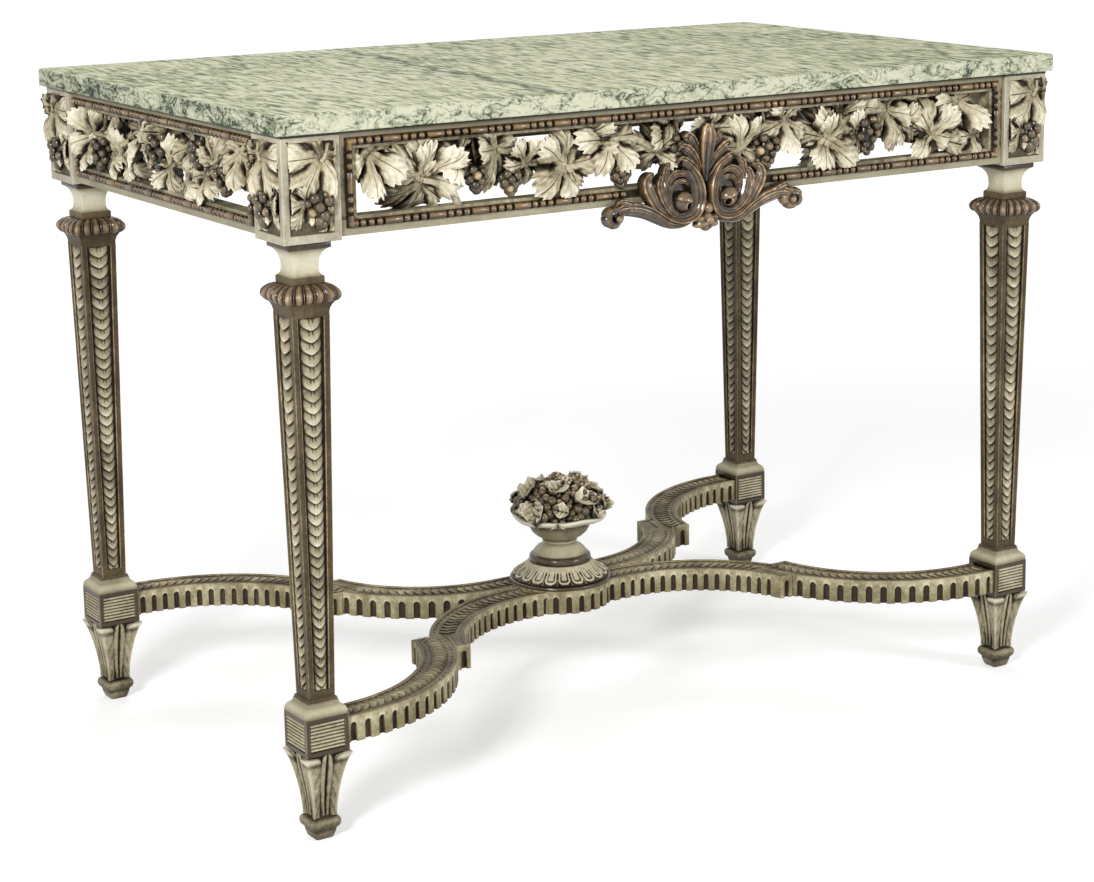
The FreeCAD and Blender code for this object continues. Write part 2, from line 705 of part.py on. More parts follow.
def arm_bands(half, bottom, top):
    """Both curved bands of an arm with a half width about their middle lines, with the straight leads."""
    height = top - bottom
    far = frame_length
    bands = []
    arcs = [(leg_arc_start, leg_arc_y, leg_arc_radius), (hub_arc_start, hub_arc_y, hub_arc_radius)]
    for x, y, radius in arcs:
        place = Vector(x, y, bottom)
        outer = Part.makeCylinder(radius + half, height, place, up)
        bands.append(outer.cut(Part.makeCylinder(radius - half, height, place, up)))
    leg_band = bands[0].common(box(0, leg_arc_start, break_low, far, bottom, top))
    hub_band = bands[1].common(box(hub_arc_start, far, -far, break_high, bottom, top))
    leg_lead = box(leg_arc_start, plinth_face, leg_y - half, leg_y + half, bottom, top)
    hub_lead = box(0, hub_arc_start, arm_offset - half, arm_offset + half, bottom, top)
    return leg_band.fuse([hub_band, leg_lead, hub_lead]).removeSplitter()


def flute_cutter(x, y, degrees):
    """Flute at a point of a side face whose outward normal has the given direction."""
    notch = box(-flute_width / 2, flute_width / 2, -flute_depth, 1, arm_bottom - 1, arm_top - flute_headroom)
    return moved(turned_about_z(notch, degrees - 90), x, y, 0)


def arc_flutes(centre_x, centre_y, radius, start, end, outward):
    """Flutes at an even pitch along an arc, between two directions in degrees from its centre."""
    count = int(math.radians(abs(end - start)) * radius / flute_pitch)
    flutes = []
    for k in range(count):
        degrees = start + (end - start) * (k + 0.5) / count
        angle = math.radians(degrees)
        normal = degrees if outward else degrees + 180
        x = centre_x + radius * math.cos(angle)
        y = centre_y + radius * math.sin(angle)
        flutes.append(flute_cutter(x, y, normal))
    return flutes


def direction_at(level, centre_y, radius):
    """Angle in degrees above the X direction at which a circle reaches a level."""
    return math.degrees(math.asin((level - centre_y) / radius))


def stretcher_arm():
    """Serpentine arm of the +X +Y corner, with fluted sides and a sunk band on top."""
    half = arm_width / 2
    body = arm_bands(half, arm_bottom, arm_top)
    cuts = [arm_bands(half - arm_border, arm_top - arm_channel_depth, arm_top + 1)]
    for offset, level in ((half, break_high), (-half, break_low)):
        radius = leg_arc_radius + offset
        end = 180 - direction_at(level, leg_arc_y, radius)
        cuts += arc_flutes(leg_arc_start, leg_arc_y, radius, 90, end, offset > 0)
    for offset, level in ((-half, break_high), (half, break_low)):
        radius = hub_arc_radius + offset
        end = direction_at(level, hub_arc_y, radius)
        cuts += arc_flutes(hub_arc_start, hub_arc_y, radius, -90, end, offset > 0)
    cuts.append(peg(0, 0, arm_bottom - 1, arm_top + 2, hub_radius + joint_clearance))
    hole = stretcher_dowel_radius + joint_clearance
    inward = stretcher_dowel_in_arm + dowel_end_gap
    at_leg = Vector(plinth_face + 1, leg_y, arm_middle)
    at_hub = Vector(0, arm_offset, arm_middle)
    cuts.append(Part.makeCylinder(hole, inward + 1, at_leg, Vector(-1, 0, 0)))
    cuts.append(Part.makeCylinder(hole, hub_arc_start + inward, at_hub, Vector(1, 0, 0)))
    return body.cut(cuts)


def stretcher_hub():
    """Round drum that joins the four arms, fluted where it shows between them."""
    body = peg(0, 0, arm_bottom, arm_top, hub_radius)
    show = math.degrees(math.acos((arm_offset + arm_width / 2) / hub_radius))
    cuts = []
    for middle in (90, 270):
        cuts += arc_flutes(0, 0, hub_radius, middle - show, middle + show, True)
    hole = stretcher_dowel_radius + joint_clearance
    depth = stretcher_dowel_in_hub + dowel_end_gap
    mouth = math.sqrt(hub_radius ** 2 - arm_offset ** 2)
    for sign_x, sign_y in CORNERS.values():
        start = Vector(sign_x * (mouth - depth), sign_y * arm_offset, arm_middle)
        cuts.append(Part.makeCylinder(hole, hub_radius, start, Vector(sign_x, 0, 0)))
    floor = arm_top - finial_dowel_in_hub - dowel_end_gap
    cuts.append(peg(0, 0, floor, arm_top + 1, finial_dowel_radius + joint_clearance))
    return body.cut(cuts)


# Levels of the finial
leaf_level = arm_top + base_foot_height
ring_level = leaf_level + base_leaf_height
dome_level = ring_level + base_ring_height
bowl_level = dome_level + base_dome_height
rim_level = bowl_level + bowl_height
dish_level = rim_level - bowl_dish_depth


def finial_base():
    """Round base: foot ring, leaf-carved slope, dark ring and dome."""
    body = turned([
        (0, arm_top), (base_foot_radius, arm_top), (base_foot_radius, leaf_level),
        (base_foot_radius - base_foot_step, leaf_level),
        ((base_leaf_radius + base_leaf_swell, leaf_level + 0.45 * base_leaf_height),
         (base_leaf_radius, ring_level)),
        (base_ring_radius - base_ring_round, ring_level),
        ((base_ring_radius, ring_level + 0.5 * base_ring_height),
         (base_ring_radius - base_ring_round, dome_level)),
        (base_dome_radius, dome_level),
        ((0.86 * base_dome_radius, dome_level + 0.6 * base_dome_height),
         (finial_stem_radius, bowl_level)),
        (0, bowl_level),
    ])
    return body.cut(peg(0, 0, arm_top - 1, bowl_level + 1, finial_dowel_radius + joint_clearance))


def finial_bowl():
    """Flared bowl with a shallow dish on top."""
    body = turned([
        (0, bowl_level), (finial_stem_radius, bowl_level), (bowl_foot_radius, bowl_level + bowl_foot_height),
        ((bowl_foot_radius + bowl_swell, bowl_level + 0.42 * bowl_height),
         (bowl_rim_radius, rim_level - bowl_rim_height)),
        (bowl_rim_radius, rim_level), (bowl_dish_radius, rim_level),
        (bowl_dish_radius - bowl_dish_slope, dish_level), (0, dish_level),
    ])
    top = bowl_level + finial_dowel_in_bowl + dowel_end_gap
    return body.cut(peg(0, 0, bowl_level - 1, top, finial_dowel_radius + joint_clearance))


def finial_fruit():
    """Mound of fruit in the bowl: rings of knobs that close to a crown."""
    rings = [(0.0, 0.62), (0.14, 0.70), (0.22, 0.98), (0.50, 0.94), (0.74, 0.70), (0.93, 0.34)]
    knobs = 14
    loops = []
    for level, (rise, share) in enumerate(rings):
        turn = 0.5 * (level % 2)
        loop = []
        for k in range(knobs):
            angle = 2 * math.pi * (k + turn) / knobs
            radius = share * fruit_radius * (1.0 if k % 2 or level == 0 else 0.86)
            height = dish_level + rise * fruit_height
            loop.append(Vector(radius * math.cos(angle), radius * math.sin(angle), height))
        loops.append(loop)
    faces = [loops[0]]
    for lower, upper in zip(loops, loops[1:]):
        for k in range(knobs):
            n = (k + 1) % knobs
            faces.append([lower[k], lower[n], upper[k]])
            faces.append([lower[n], upper[k], upper[n]])
    crown = Vector(0, 0, dish_level + fruit_height)
    faces += [[loops[-1][k], loops[-1][(k + 1) % knobs], crown] for k in range(knobs)]
    return facet_solid(faces)


def at_corners(shape):
    """Compound of copies of a +X +Y shape in all four corners."""
    return Part.makeCompound([mirrored(shape, sx, sy) for sx, sy in CORNERS.values()])


def leg_top_dowels():
    """Dowels between corner blocks and legs."""
    low, high = block_bottom - leg_dowel_reach, block_bottom + leg_dowel_reach
    return at_corners(peg(leg_x, leg_y, low, high, leg_dowel_radius))


def foot_dowels():
    """Long dowels from legs through plinths into feet."""
    low, high = foot_height - foot_dowel_reach, plinth_top + foot_dowel_reach
    return at_corners(peg(leg_x, leg_y, low, high, leg_dowel_radius))


def stretcher_dowels():
    """Dowels that hold each arm to its plinth and to the hub."""
    along = Vector(1, 0, 0)
    radius = stretcher_dowel_radius
    mouth = math.sqrt(hub_radius ** 2 - arm_offset ** 2)
    leg_length = stretcher_dowel_in_arm + stretcher_dowel_in_plinth
    leg_start = Vector(plinth_face - stretcher_dowel_in_arm, leg_y, arm_middle)
    hub_length = stretcher_dowel_in_hub + stretcher_dowel_in_arm
    hub_start = Vector(mouth - stretcher_dowel_in_hub, arm_offset, arm_middle)
    pegs = [
        Part.makeCylinder(radius, leg_length, leg_start, along),
        Part.makeCylinder(radius, hub_length, hub_start, along),
    ]
    copies = [mirrored(one, sx, sy) for sx, sy in CORNERS.values() for one in pegs]
    return Part.makeCompound(copies)


def build():
    """All pieces by node name."""
    pieces = {"marble_top": marble_top()}
    for side, (degrees, reach, span) in SIDES.items():
        is_long = side in ("front", "back")
        vine = (SHORT_LEAVES, SHORT_BUNCHES, SHORT_STEM)
        if is_long:
            vine = (LONG_LEAVES, LONG_BUNCHES, LONG_STEM)
        local = {
            "upper_rail": bar(span, opening_top, opening_top),
            "lower_rail": bar(span, rail_bottom, opening_bottom - tongue_height - joint_clearance),
            "vine_panel": vine_panel(span, *vine),
            "bead_moulding": bead_frame(span, is_long),
        }
        if is_long:
            local["cartouche"] = cartouche()
        for name, shape in local.items():
            pieces[f"{side}_{name}"] = turned_about_z(moved(shape, 0, -reach, 0), degrees)
    standing = {
        "corner_block": corner_block(),
        "corner_carving": corner_carving(),
        "leg": leg(),
        "plinth": plinth(),
        "foot": foot(),
    }
    corner_pieces = {name: moved(shape, leg_x, leg_y, 0) for name, shape in standing.items()}
    corner_pieces["stretcher_arm"] = stretcher_arm()
    for name, shape in corner_pieces.items():
        for corner, signs in CORNERS.items():
            pieces[f"{name}_{corner}"] = mirrored(shape, *signs)
    pieces["stretcher_hub"] = stretcher_hub()
    pieces["finial_base"] = finial_base()
    pieces["finial_bowl"] = finial_bowl()
    pieces["finial_fruit"] = finial_fruit()
    low, high = arm_top - finial_dowel_in_hub, bowl_level + finial_dowel_in_bowl
    pieces["finial_dowel"] = peg(0, 0, low, high, finial_dowel_radius)
    pieces["leg_top_dowels"] = leg_top_dowels()
    pieces["foot_dowels"] = foot_dowels()
    pieces["stretcher_dowels"] = stretcher_dowels()
    return pieces


if __name__ == "__main__":
    os.makedirs("parts", exist_ok=True)
    for node, shape in build().items():
        shape.exportStep(f"parts/{node}.step")
        state = "valid" if shape.isValid() else "INVALID"
        print(node, len(shape.Solids), "solids", round(shape.Volume), "mm3", state)
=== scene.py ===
# %% [markdown]
# # A carved and painted centre table
# The real table is a wooden frame under a loose slab of pale green marble. The wood is painted a greyed
# cream, glazed with brown so that every hollow stays dark, and bronzed on its beads, grapes and
# scrolls. The solids come in as a fixed frame. A plain piece keeps its solid and only gets a finish.
# Every carved piece is made again here as a surface: numpy works out whole grids of points, and each
# grid becomes part of a mesh.

# %% load the frame
import bmesh
import bpy
import numpy as np
from mathutils import Matrix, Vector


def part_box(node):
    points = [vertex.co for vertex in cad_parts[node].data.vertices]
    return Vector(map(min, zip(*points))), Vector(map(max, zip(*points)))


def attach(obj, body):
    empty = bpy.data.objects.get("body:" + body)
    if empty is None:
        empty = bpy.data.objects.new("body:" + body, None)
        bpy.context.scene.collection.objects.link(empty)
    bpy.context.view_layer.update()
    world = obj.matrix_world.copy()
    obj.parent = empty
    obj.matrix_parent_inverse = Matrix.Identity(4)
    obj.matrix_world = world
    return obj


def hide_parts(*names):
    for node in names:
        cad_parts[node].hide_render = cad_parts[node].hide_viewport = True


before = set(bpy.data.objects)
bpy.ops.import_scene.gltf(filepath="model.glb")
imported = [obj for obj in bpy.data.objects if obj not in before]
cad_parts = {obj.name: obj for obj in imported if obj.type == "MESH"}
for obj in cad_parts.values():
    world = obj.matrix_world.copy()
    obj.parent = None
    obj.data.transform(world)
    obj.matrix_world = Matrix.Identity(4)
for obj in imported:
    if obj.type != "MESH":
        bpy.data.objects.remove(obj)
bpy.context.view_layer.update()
MM = 0.001  # metres in a millimetre: shapes are worked out in millimetres
CORNERS = {"front_left": (-1, -1), "front_right": (1, -1), "back_left": (-1, 1), "back_right": (1, 1)}
# degrees from the front, about the upright axis
SIDES = {"front": 0, "right": 90, "back": 180, "left": 270}


def node_box(node):
    """Lowest and highest corner of a solid, in millimetres."""
    low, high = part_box(node)
    return np.array(low) / MM, np.array(high) / MM


# %% [markdown]
# ## Camera
# The photograph was taken with a long lens from the front left, a little above the top. A camera is
# three directions and a place. Building its matrix from the viewing direction keeps the numbers
# readable: turn, dip and tilt.

# %% camera
camera_place = (-1.6964, -2.6896, 1.1033)
turn, dip, tilt = np.radians((34.507, 11.949, -0.4835))
forward = np.array([np.sin(turn) * np.cos(dip), np.cos(turn) * np.cos(dip), -np.sin(dip)])
level = np.array([np.cos(turn), -np.sin(turn), 0.0])
upright = np.cross(level, forward)
right = level * np.cos(tilt) + upright * np.sin(tilt)
up = upright * np.cos(tilt) - level * np.sin(tilt)
lens = bpy.data.cameras.new("camera")
lens.sensor_width = 36.0
lens.lens = 84.83
lens.shift_x, lens.shift_y = -0.10, -0.08
camera = bpy.data.objects.new("camera", lens)
camera.matrix_world = Matrix(np.column_stack([right, up, -forward, camera_place]).tolist() + [[0, 0, 0, 1]])
bpy.context.scene.collection.objects.link(camera)
bpy.context.scene.camera = camera
bpy.context.scene.view_settings.view_transform = "Standard"
print("camera looks along", forward.round(3))

# %% [markdown]
# ## Shader nodes
# A finish is a small graph of nodes. It could be drawn by hand in the shader editor, but a script can
# make many that are alike. One helper gives a colour as the eye sees it, one makes a node and links or
# sets its inputs, and the others are the few kinds of node that the finishes here need.

# %% colours and nodes


def tint(red, green, blue):
    """Linear colour of a paint that looks like the given values of 0 to 255."""
    share = np.array([red, green, blue]) / 255
    linear = np.where(share <= 0.04045, share / 12.92, ((share + 0.055) / 1.055) ** 2.4)
    return (*linear.tolist(), 1.0)


def add_node(tree, kind, inputs=None, **settings):
    """New node; an input is linked where its value is a socket and set where it is a number or a colour."""
    made = tree.nodes.new(kind)
    for name, value in settings.items():
        setattr(made, name, value)
    for key, value in (inputs or {}).items():
        if isinstance(value, bpy.types.NodeSocket):
            tree.links.new(value, made.inputs[key])
        else:
            made.inputs[key].default_value = value
    return made


def math_of(tree, operation, *values):
    """Result of one operation on sockets or numbers."""
    return add_node(tree, "ShaderNodeMath", dict(enumerate(values)), operation=operation).outputs[0]


def sum_of(tree, start, *terms):
    """Start plus every term, which is a socket and the factor it is multiplied by."""
    for socket, factor in terms:
        start = math_of(tree, "MULTIPLY_ADD", socket, factor, start)
    return start


print("a mid grey paint has the linear level", round(tint(128, 128, 128)[0], 3))

# %% noise, ramps and shaders


def noise(tree, place, scale, detail=4.0, distortion=0.0):
    """Cloudy noise from 0 to 1 around a half; scale counts its cells in a metre."""
    inputs = {"Vector": place, "Scale": scale, "Detail": detail, "Distortion": distortion}
    return add_node(tree, "ShaderNodeTexNoise", inputs).outputs["Fac"]


def stretched(tree, place, *scale):
    """Place scaled along its three axes: a scale under 1 draws a pattern out along that axis."""
    return add_node(tree, "ShaderNodeMapping", {"Vector": place, "Scale": scale}).outputs[0]


def parts_of(tree, vector):
    """The three parts of a vector."""
    return add_node(tree, "ShaderNodeSeparateXYZ", {0: vector}).outputs


def blend_of(tree, share, first, second):
    """Colour between two others; share 0 gives the first."""
    mixed = add_node(tree, "ShaderNodeMix", {0: share, 6: first, 7: second}, data_type="RGBA")
    return mixed.outputs[2]


def ramp_of(tree, value, stops):
    """Colour that runs through stops of a position and a linear colour."""
    ramp = add_node(tree, "ShaderNodeValToRGB", {"Fac": value})
    elements = ramp.color_ramp.elements
    while len(elements) < len(stops):
        elements.new(0.5)
    for element, (position, colour) in zip(elements, stops):
        element.position = position
        element.color = colour
    return ramp.outputs["Color"]


def paint_of(tree, value, rows):
    """Colour that runs through rows of a position and a colour as the eye sees it."""
    return ramp_of(tree, value, [(position, tint(*colour)) for position, *colour in rows])


def level_of(tree, value, rows):
    """Level that runs through rows of a position and a level."""
    return ramp_of(tree, value, [(position, (level, level, level, 1.0)) for position, level in rows])


def new_finish(name):
    """Material with its node tree, its main shader and the point's own place in the frame."""
    material = bpy.data.materials.new(name)
    material.use_nodes = True
    tree = material.node_tree
    place = add_node(tree, "ShaderNodeTexCoord").outputs["Object"]
    return material, tree, tree.nodes["Principled BSDF"], place


def finish_shader(tree, shader, colour, roughness, gloss):
    """Links a shader's colour and roughness and sets how much it mirrors."""
    tree.links.new(colour, shader.inputs["Base Color"])
    tree.links.new(roughness, shader.inputs["Roughness"])
    shader.inputs["Specular IOR Level"].default_value = gloss


def put_bump(tree, shader, height, strength, depth):
    """Small relief on a shader from a height."""
    bump = add_node(tree, "ShaderNodeBump", {"Height": height, "Strength": strength, "Distance": depth})
    tree.links.new(bump.outputs["Normal"], shader.inputs["Normal"])


def link_object(name, data):
    """New object in the scene."""
    made = bpy.data.objects.new(name, data)
    bpy.context.scene.collection.objects.link(made)
    return made


print(len(bpy.data.materials), "materials before the finishes are made")

# %% [markdown]
# ## Floor and light
# The table stands on a white floor in soft studio light. A lamp on the left models the carving, a
# weaker one fills the right, a third lifts the back, and a dim even world keeps the shadows open. The
# floor looks white to the camera and in reflections through a little glow of its own, and still takes
# the table's shadow. The glow grows with the distance, where the lamps no longer reach.

# %% floor, lamps and world


def seen_rays(tree):
    """1 for rays from the camera, mirrors and glass, 0 for the light that falls on things."""
    path = add_node(tree, "ShaderNodeLightPath").outputs
    some = math_of(tree, "MAXIMUM", path["Is Camera Ray"], path["Is Glossy Ray"])
    return math_of(tree, "MAXIMUM", some, path["Is Transmission Ray"])


WHITE = (1.0, 1.0, 1.0, 1.0)
world_level = 0.32
world = bpy.data.worlds.new("studio")
world.use_nodes = True
sky = world.node_tree
sky_strength = sum_of(sky, world_level, (seen_rays(sky), 1.0 - world_level))
background = sky.nodes["Background"]
background.inputs["Color"].default_value = WHITE
sky.links.new(sky_strength, background.inputs["Strength"])
bpy.context.scene.world = world

floor_reach, floor_level = 30.0, 0.82
floor_mesh = bpy.data.meshes.new("floor")
floor_corners = [(x * floor_reach, y * floor_reach, 0.0) for x, y in ((-1, -1), (1, -1), (1, 1), (-1, 1))]
floor_mesh.from_pydata(floor_corners, [], [(0, 1, 2, 3)])
floor = link_object("floor", floor_mesh)
white_floor, floor_tree, floor_shader, floor_place = new_finish("white_floor")
floor_shader.inputs["Base Color"].default_value = (floor_level, floor_level, floor_level, 1.0)
floor_shader.inputs["Roughness"].default_value = 0.9
floor_shader.inputs["Emission Color"].default_value = WHITE
away = add_node(floor_tree, "ShaderNodeVectorMath", {0: floor_place}, operation="LENGTH").outputs["Value"]
away_share = sum_of(floor_tree, 0.0, (away, 0.2))  # 1 at five metres
FLOOR_GLOW = [(0.3, 0.42), (0.9, 0.76)]  # share away from the middle and the glow there
far_glow = level_of(floor_tree, away_share, FLOOR_GLOW)
glow = math_of(floor_tree, "MULTIPLY", seen_rays(floor_tree), far_glow)
floor_tree.links.new(glow, floor_shader.inputs["Emission Strength"])
floor_mesh.materials.append(white_floor)

LAMPS = {  # place in metres, size in metres, power in watts
    "key_lamp": ((-3.0, -2.2, 2.1), 0.8, 104.0),
    "front_lamp": ((2.0, -3.1, 1.5), 0.7, 46.0),
    "back_lamp": ((1.2, 2.6, 2.8), 1.6, 30.0),
}
lamp_aim = np.array([0.0, 0.0, 0.5])
for lamp_name, (lamp_place, lamp_size, lamp_power) in LAMPS.items():
    lamp_data = bpy.data.lights.new(lamp_name, "AREA")
    lamp_data.size = lamp_size
    lamp_data.energy = lamp_power
    back = np.array(lamp_place) - lamp_aim
    back /= np.linalg.norm(back)
    side = np.cross((0, 0, 1), back)
    side /= np.linalg.norm(side)
    columns = np.column_stack([side, np.cross(back, side), back, lamp_place])
    link_object(lamp_name, lamp_data).matrix_world = Matrix(columns.tolist() + [[0, 0, 0, 1]])
print(len(LAMPS), "lamps over a white floor")

# %% [markdown]
# ## Finishes
# The wood's finishes are all made the same way, in layers: brown glaze lies in the hollows, body colour
# on the slopes and worn light colour on the high edges. A carved piece carries an attribute called tone
# that says which layer shows, 0 in the deepest hollow and 1 on a worn edge. In many carvings the tone
# also carries painted shade in the hollows and painted highlights on the crowns. Two noises add what a
# brush and two centuries add: broad patches and fine specks. A painted picture could do this too, but a
# table of colours is easier to tune and stays sharp from close by.

# %% glazed paint
PAINTS = {  # rows of a tone and the colour it shows; roughness, gloss, strength of the patches and specks
    "carved_cream": (
        [(0.0, 24, 19, 14), (0.26, 80, 69, 51), (0.54, 176, 165, 135), (1.0, 242, 235, 213)],
        0.4, 0.25, 0.7, 0.45),
    "husk_cream": (
        [(0.0, 24, 20, 15), (0.28, 92, 83, 64), (0.6, 170, 160, 132), (1.0, 230, 224, 200)],
        0.5, 0.2, 0.6, 0.4),
    "flute_cream": (
        [(0.0, 62, 52, 42), (0.25, 92, 80, 60), (0.6, 147, 136, 105), (1.0, 216, 208, 174)],
        0.5, 0.12, 0.95, 0.5),
    "block_cream": (
        [(0.0, 62, 54, 40), (0.3, 122, 113, 91), (0.62, 172, 165, 143), (1.0, 220, 215, 198)],
        0.45, 0.2, 0.6, 0.28),
    "neck_cream": (
        [(0.0, 86, 77, 58), (0.35, 156, 147, 119), (0.7, 202, 195, 168), (1.0, 232, 228, 208)],
        0.42, 0.3, 0.4, 0.28),
    "brown_glaze": (
        [(0.0, 28, 22, 16), (0.45, 76, 64, 47), (0.75, 112, 97, 72), (1.0, 196, 180, 146)],
        0.42, 0.12, 0.6, 0.4),
    "dark_glaze": (
        [(0.0, 22, 17, 12), (0.5, 72, 58, 43), (0.8, 142, 119, 91), (1.0, 220, 200, 170)],
        0.2, 0.4, 0.4, 0.28),
    "bronze": (
        [(0.0, 26, 21, 15), (0.36, 98, 79, 56), (0.66, 170, 138, 101), (1.0, 250, 228, 188)],
        0.2, 0.62, 0.6, 0.4),
    "bead_bronze": (
        [(0.0, 20, 16, 10), (0.4, 80, 62, 39), (0.72, 142, 112, 72), (1.0, 240, 212, 162)],
        0.24, 0.6, 0.6, 0.28),
    "grape_bronze": (
        [(0.0, 18, 16, 12), (0.5, 66, 58, 42), (0.8, 110, 93, 65), (1.0, 200, 176, 132)],
        0.2, 0.55, 0.4, 0.28),
    "chipped_paint": (
        [(0.0, 70, 54, 42), (0.4, 132, 112, 88), (0.7, 186, 168, 140), (1.0, 216, 192, 164)],
        0.55, 0.3, 0.4, 0.28),
}
patch_scale, speck_scale = 26.0, 240.0  # cells of the two noises in a metre


def glazed(name, rows, roughness, gloss, patch, speck):
    """Layered paint whose colour follows the piece's tone, moved up and down by patches and specks."""
    material, tree, shader, place = new_finish(name)
    patches = noise(tree, place, patch_scale, 6.0, 0.6)
    specks = noise(tree, place, speck_scale, 5.0)
    tone = add_node(tree, "ShaderNodeAttribute", attribute_name="tone").outputs["Fac"]
    value = sum_of(tree, -0.5 * (patch + speck), (patches, patch), (specks, speck), (tone, 1.0))
    rough = sum_of(tree, roughness - 0.1, (specks, 0.2))
    finish_shader(tree, shader, paint_of(tree, value, rows), rough, gloss)
    put_bump(tree, shader, specks, 0.35, 0.4 * MM)
    return material


paint = {name: glazed(name, *row) for name, row in PAINTS.items()}
print(len(paint), "glazed paints made")

# %% [markdown]
# The rails are plain, so they keep their solids, which carry no tone. They are cream outside and
# stained brown inside, where nobody painted them. The brown is put by the point's place: inside a box a
# little smaller than the frame the colour turns to stain. The last millimetres under the slab are
# painted dark as the slab's shadow, with some dust.

# %% paint for the rails
RAIL_COLOURS = [(0.0, 98, 90, 70), (0.3, 142, 134, 110), (0.6, 176, 169, 144), (1.0, 208, 203, 180)]
STAIN_COLOURS = [(0.0, 42, 33, 25), (1.0, 84, 66, 48)]
slab_under = node_box("marble_top")[0][2]
front_reach, side_reach = -node_box("front_lower_rail")[0][1], node_box("right_lower_rail")[1][0]
paint_skin = 6.0  # how far the paint reaches into the frame from its outer faces
inner_half = (side_reach - paint_skin, front_reach - paint_skin)


def rail_paint():
    """Cream that turns to stain inside both inner half sizes, and is painted dark just under the slab as
    its shadow and dust.
    """
    material, tree, shader, place = new_finish("rail_cream")
    patches = noise(tree, place, 11.0, 7.0, 0.8)
    specks = noise(tree, place, speck_scale, 5.0)
    brush = noise(tree, stretched(tree, place, 1.0, 1.0, 6.0), 45.0, 4.0)
    value = sum_of(tree, -0.1, (patches, 0.55), (specks, 0.2), (brush, 0.3))
    ways = parts_of(tree, place)
    within = [math_of(tree, "LESS_THAN", math_of(tree, "ABSOLUTE", ways[axis]), half * MM)
              for axis, half in enumerate(inner_half)]
    inside = math_of(tree, "MULTIPLY", *within)
    rail, stain = paint_of(tree, value, RAIL_COLOURS), paint_of(tree, value, STAIN_COLOURS)
    colour = blend_of(tree, inside, rail, stain)
    # painted shadow of the slab, with some dust: the last millimetres under it turn dark
    at_slab = level_of(tree, ways[2], [((slab_under - 3.6) * MM, 0.0), ((slab_under - 3.0) * MM, 1.0)])
    colour = blend_of(tree, at_slab, colour, tint(24, 20, 16))
    finish_shader(tree, shader, colour, sum_of(tree, 0.35, (specks, 0.3)), 0.15)
    put_bump(tree, shader, brush, 0.25, 0.5 * MM)
    return material


rail_cream = rail_paint()
print("paint ends inside", inner_half)

# %% [markdown]
# The slab is a pale green marble. A cloud stretched from front to back gives its long grey green
# dashes, and a broad cloud makes some patches richer. One dark vein crosses it: how far a point lies
# from a slanting line, made jagged by noise, is turned into a thin band. The sawn edges are mottled and
# have thin cracks, so the direction of the face chooses between the two. The dowels inside are bare
# beech.

# %% marble
SLAB_TOP = [(0.06, 88, 97, 78), (0.28, 144, 150, 118), (0.5, 194, 197, 158), (0.8, 232, 233, 202)]
SLAB_EDGE = [(0.15, 64, 75, 68), (0.32, 122, 130, 110), (0.5, 176, 179, 154), (0.75, 210, 210, 186)]
vein_across = -156.0  # where the long dark vein crosses the middle of the slab


def band_of(tree, cloud, width):
    """1 where a cloud passes through its middle value and 0 beyond the width: a thin winding line."""
    off = math_of(tree, "ABSOLUTE", math_of(tree, "SUBTRACT", cloud, 0.5))
    return level_of(tree, off, [(0.0, 0.95), (0.35 * width, 0.5), (width, 0.0)])


def marble_finish():
    """Pale green stone with long grey green dashes, one dark vein and mottled edges with thin cracks."""
    material, tree, shader, place = new_finish("green_marble")
    dashes = noise(tree, stretched(tree, place, 1.0, 0.2, 1.0), 140.0, 6.0, 0.8)
    fine = noise(tree, place, 330.0, 4.0)
    broad = noise(tree, place, 4.5, 4.0, 0.5)
    top_value = sum_of(tree, -1.52, (broad, 0.9), (dashes, 2.75), (fine, 0.5))
    ways = parts_of(tree, place)
    jagged = noise(tree, place, 18.0, 8.0)
    line = sum_of(tree, 0.47 - vein_across * MM, (ways[1], -0.1), (ways[0], 1.0), (jagged, 0.07))
    vein = band_of(tree, line, 0.011)
    top = blend_of(tree, vein, paint_of(tree, top_value, SLAB_TOP), tint(62, 70, 54))
    sides = parts_of(tree, add_node(tree, "ShaderNodeNewGeometry").outputs["Normal"])
    endward = math_of(tree, "ABSOLUTE", sides[0])
    lengthwise = stretched(tree, place, 0.5, 0.5, 1.0)
    cracks = band_of(tree, noise(tree, lengthwise, 60.0, 5.0, 1.2), 0.06)
    patches = noise(tree, lengthwise, 44.0, 6.0, 0.8)
    edge_value = sum_of(tree, -0.44, (fine, 0.9), (patches, 1.35), (cracks, -0.42), (endward, -0.2))
    flat = level_of(tree, sides[2], [(0.55, 0.0), (0.9, 1.0)])
    colour = blend_of(tree, flat, paint_of(tree, edge_value, SLAB_EDGE), top)
    finish_shader(tree, shader, colour, sum_of(tree, 0.46, (fine, 0.2)), 0.03)
    put_bump(tree, shader, fine, 0.08, 0.2 * MM)
    return material


def bare_beech():
    """Bare beech for the hidden dowels: pale brown with a long grain."""
    material, tree, shader, place = new_finish("bare_beech")
    grain = noise(tree, stretched(tree, place, 1.0, 1.0, 0.08), 420.0, 5.0)
    colour = paint_of(tree, grain, [(0.3, 150, 112, 76), (0.7, 196, 158, 116)])
    finish_shader(tree, shader, colour, sum_of(tree, 0.5, (grain, 0.2)), 0.5)
    return material


def dress(material, *nodes):
    """Gives solids that stay in view their finish."""
    for node in nodes:
        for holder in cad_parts[node].material_slots:
            holder.material = material


dress(marble_finish(), "marble_top")
dress(rail_cream, *[f"{name}_{bar}_rail" for name in SIDES for bar in ("upper", "lower")])
dress(bare_beech(), "leg_top_dowels", "foot_dowels", "stretcher_dowels", "finial_dowel")
print("slab, rails and dowels dressed")

# %% [markdown]
# ## From grids to meshes
# Every carved surface is a grid of points, rows by columns. Joining the last column to the first makes
# a tube, and shrinking the end rows to a point closes it, so each shape is a closed shell. A Carving
# collects such grids with their tones and finishes, writes one mesh, merges the points that meet and
# turns all faces outwards. Then it darkens the hollows: brown glaze gathers there, and the same
# darkening paints in the shade that falls in them.

# %% how deep a point lies
open_count, hollow_span = 0.15, 0.3  # blurred count on open ground, and how much more a deep hollow has


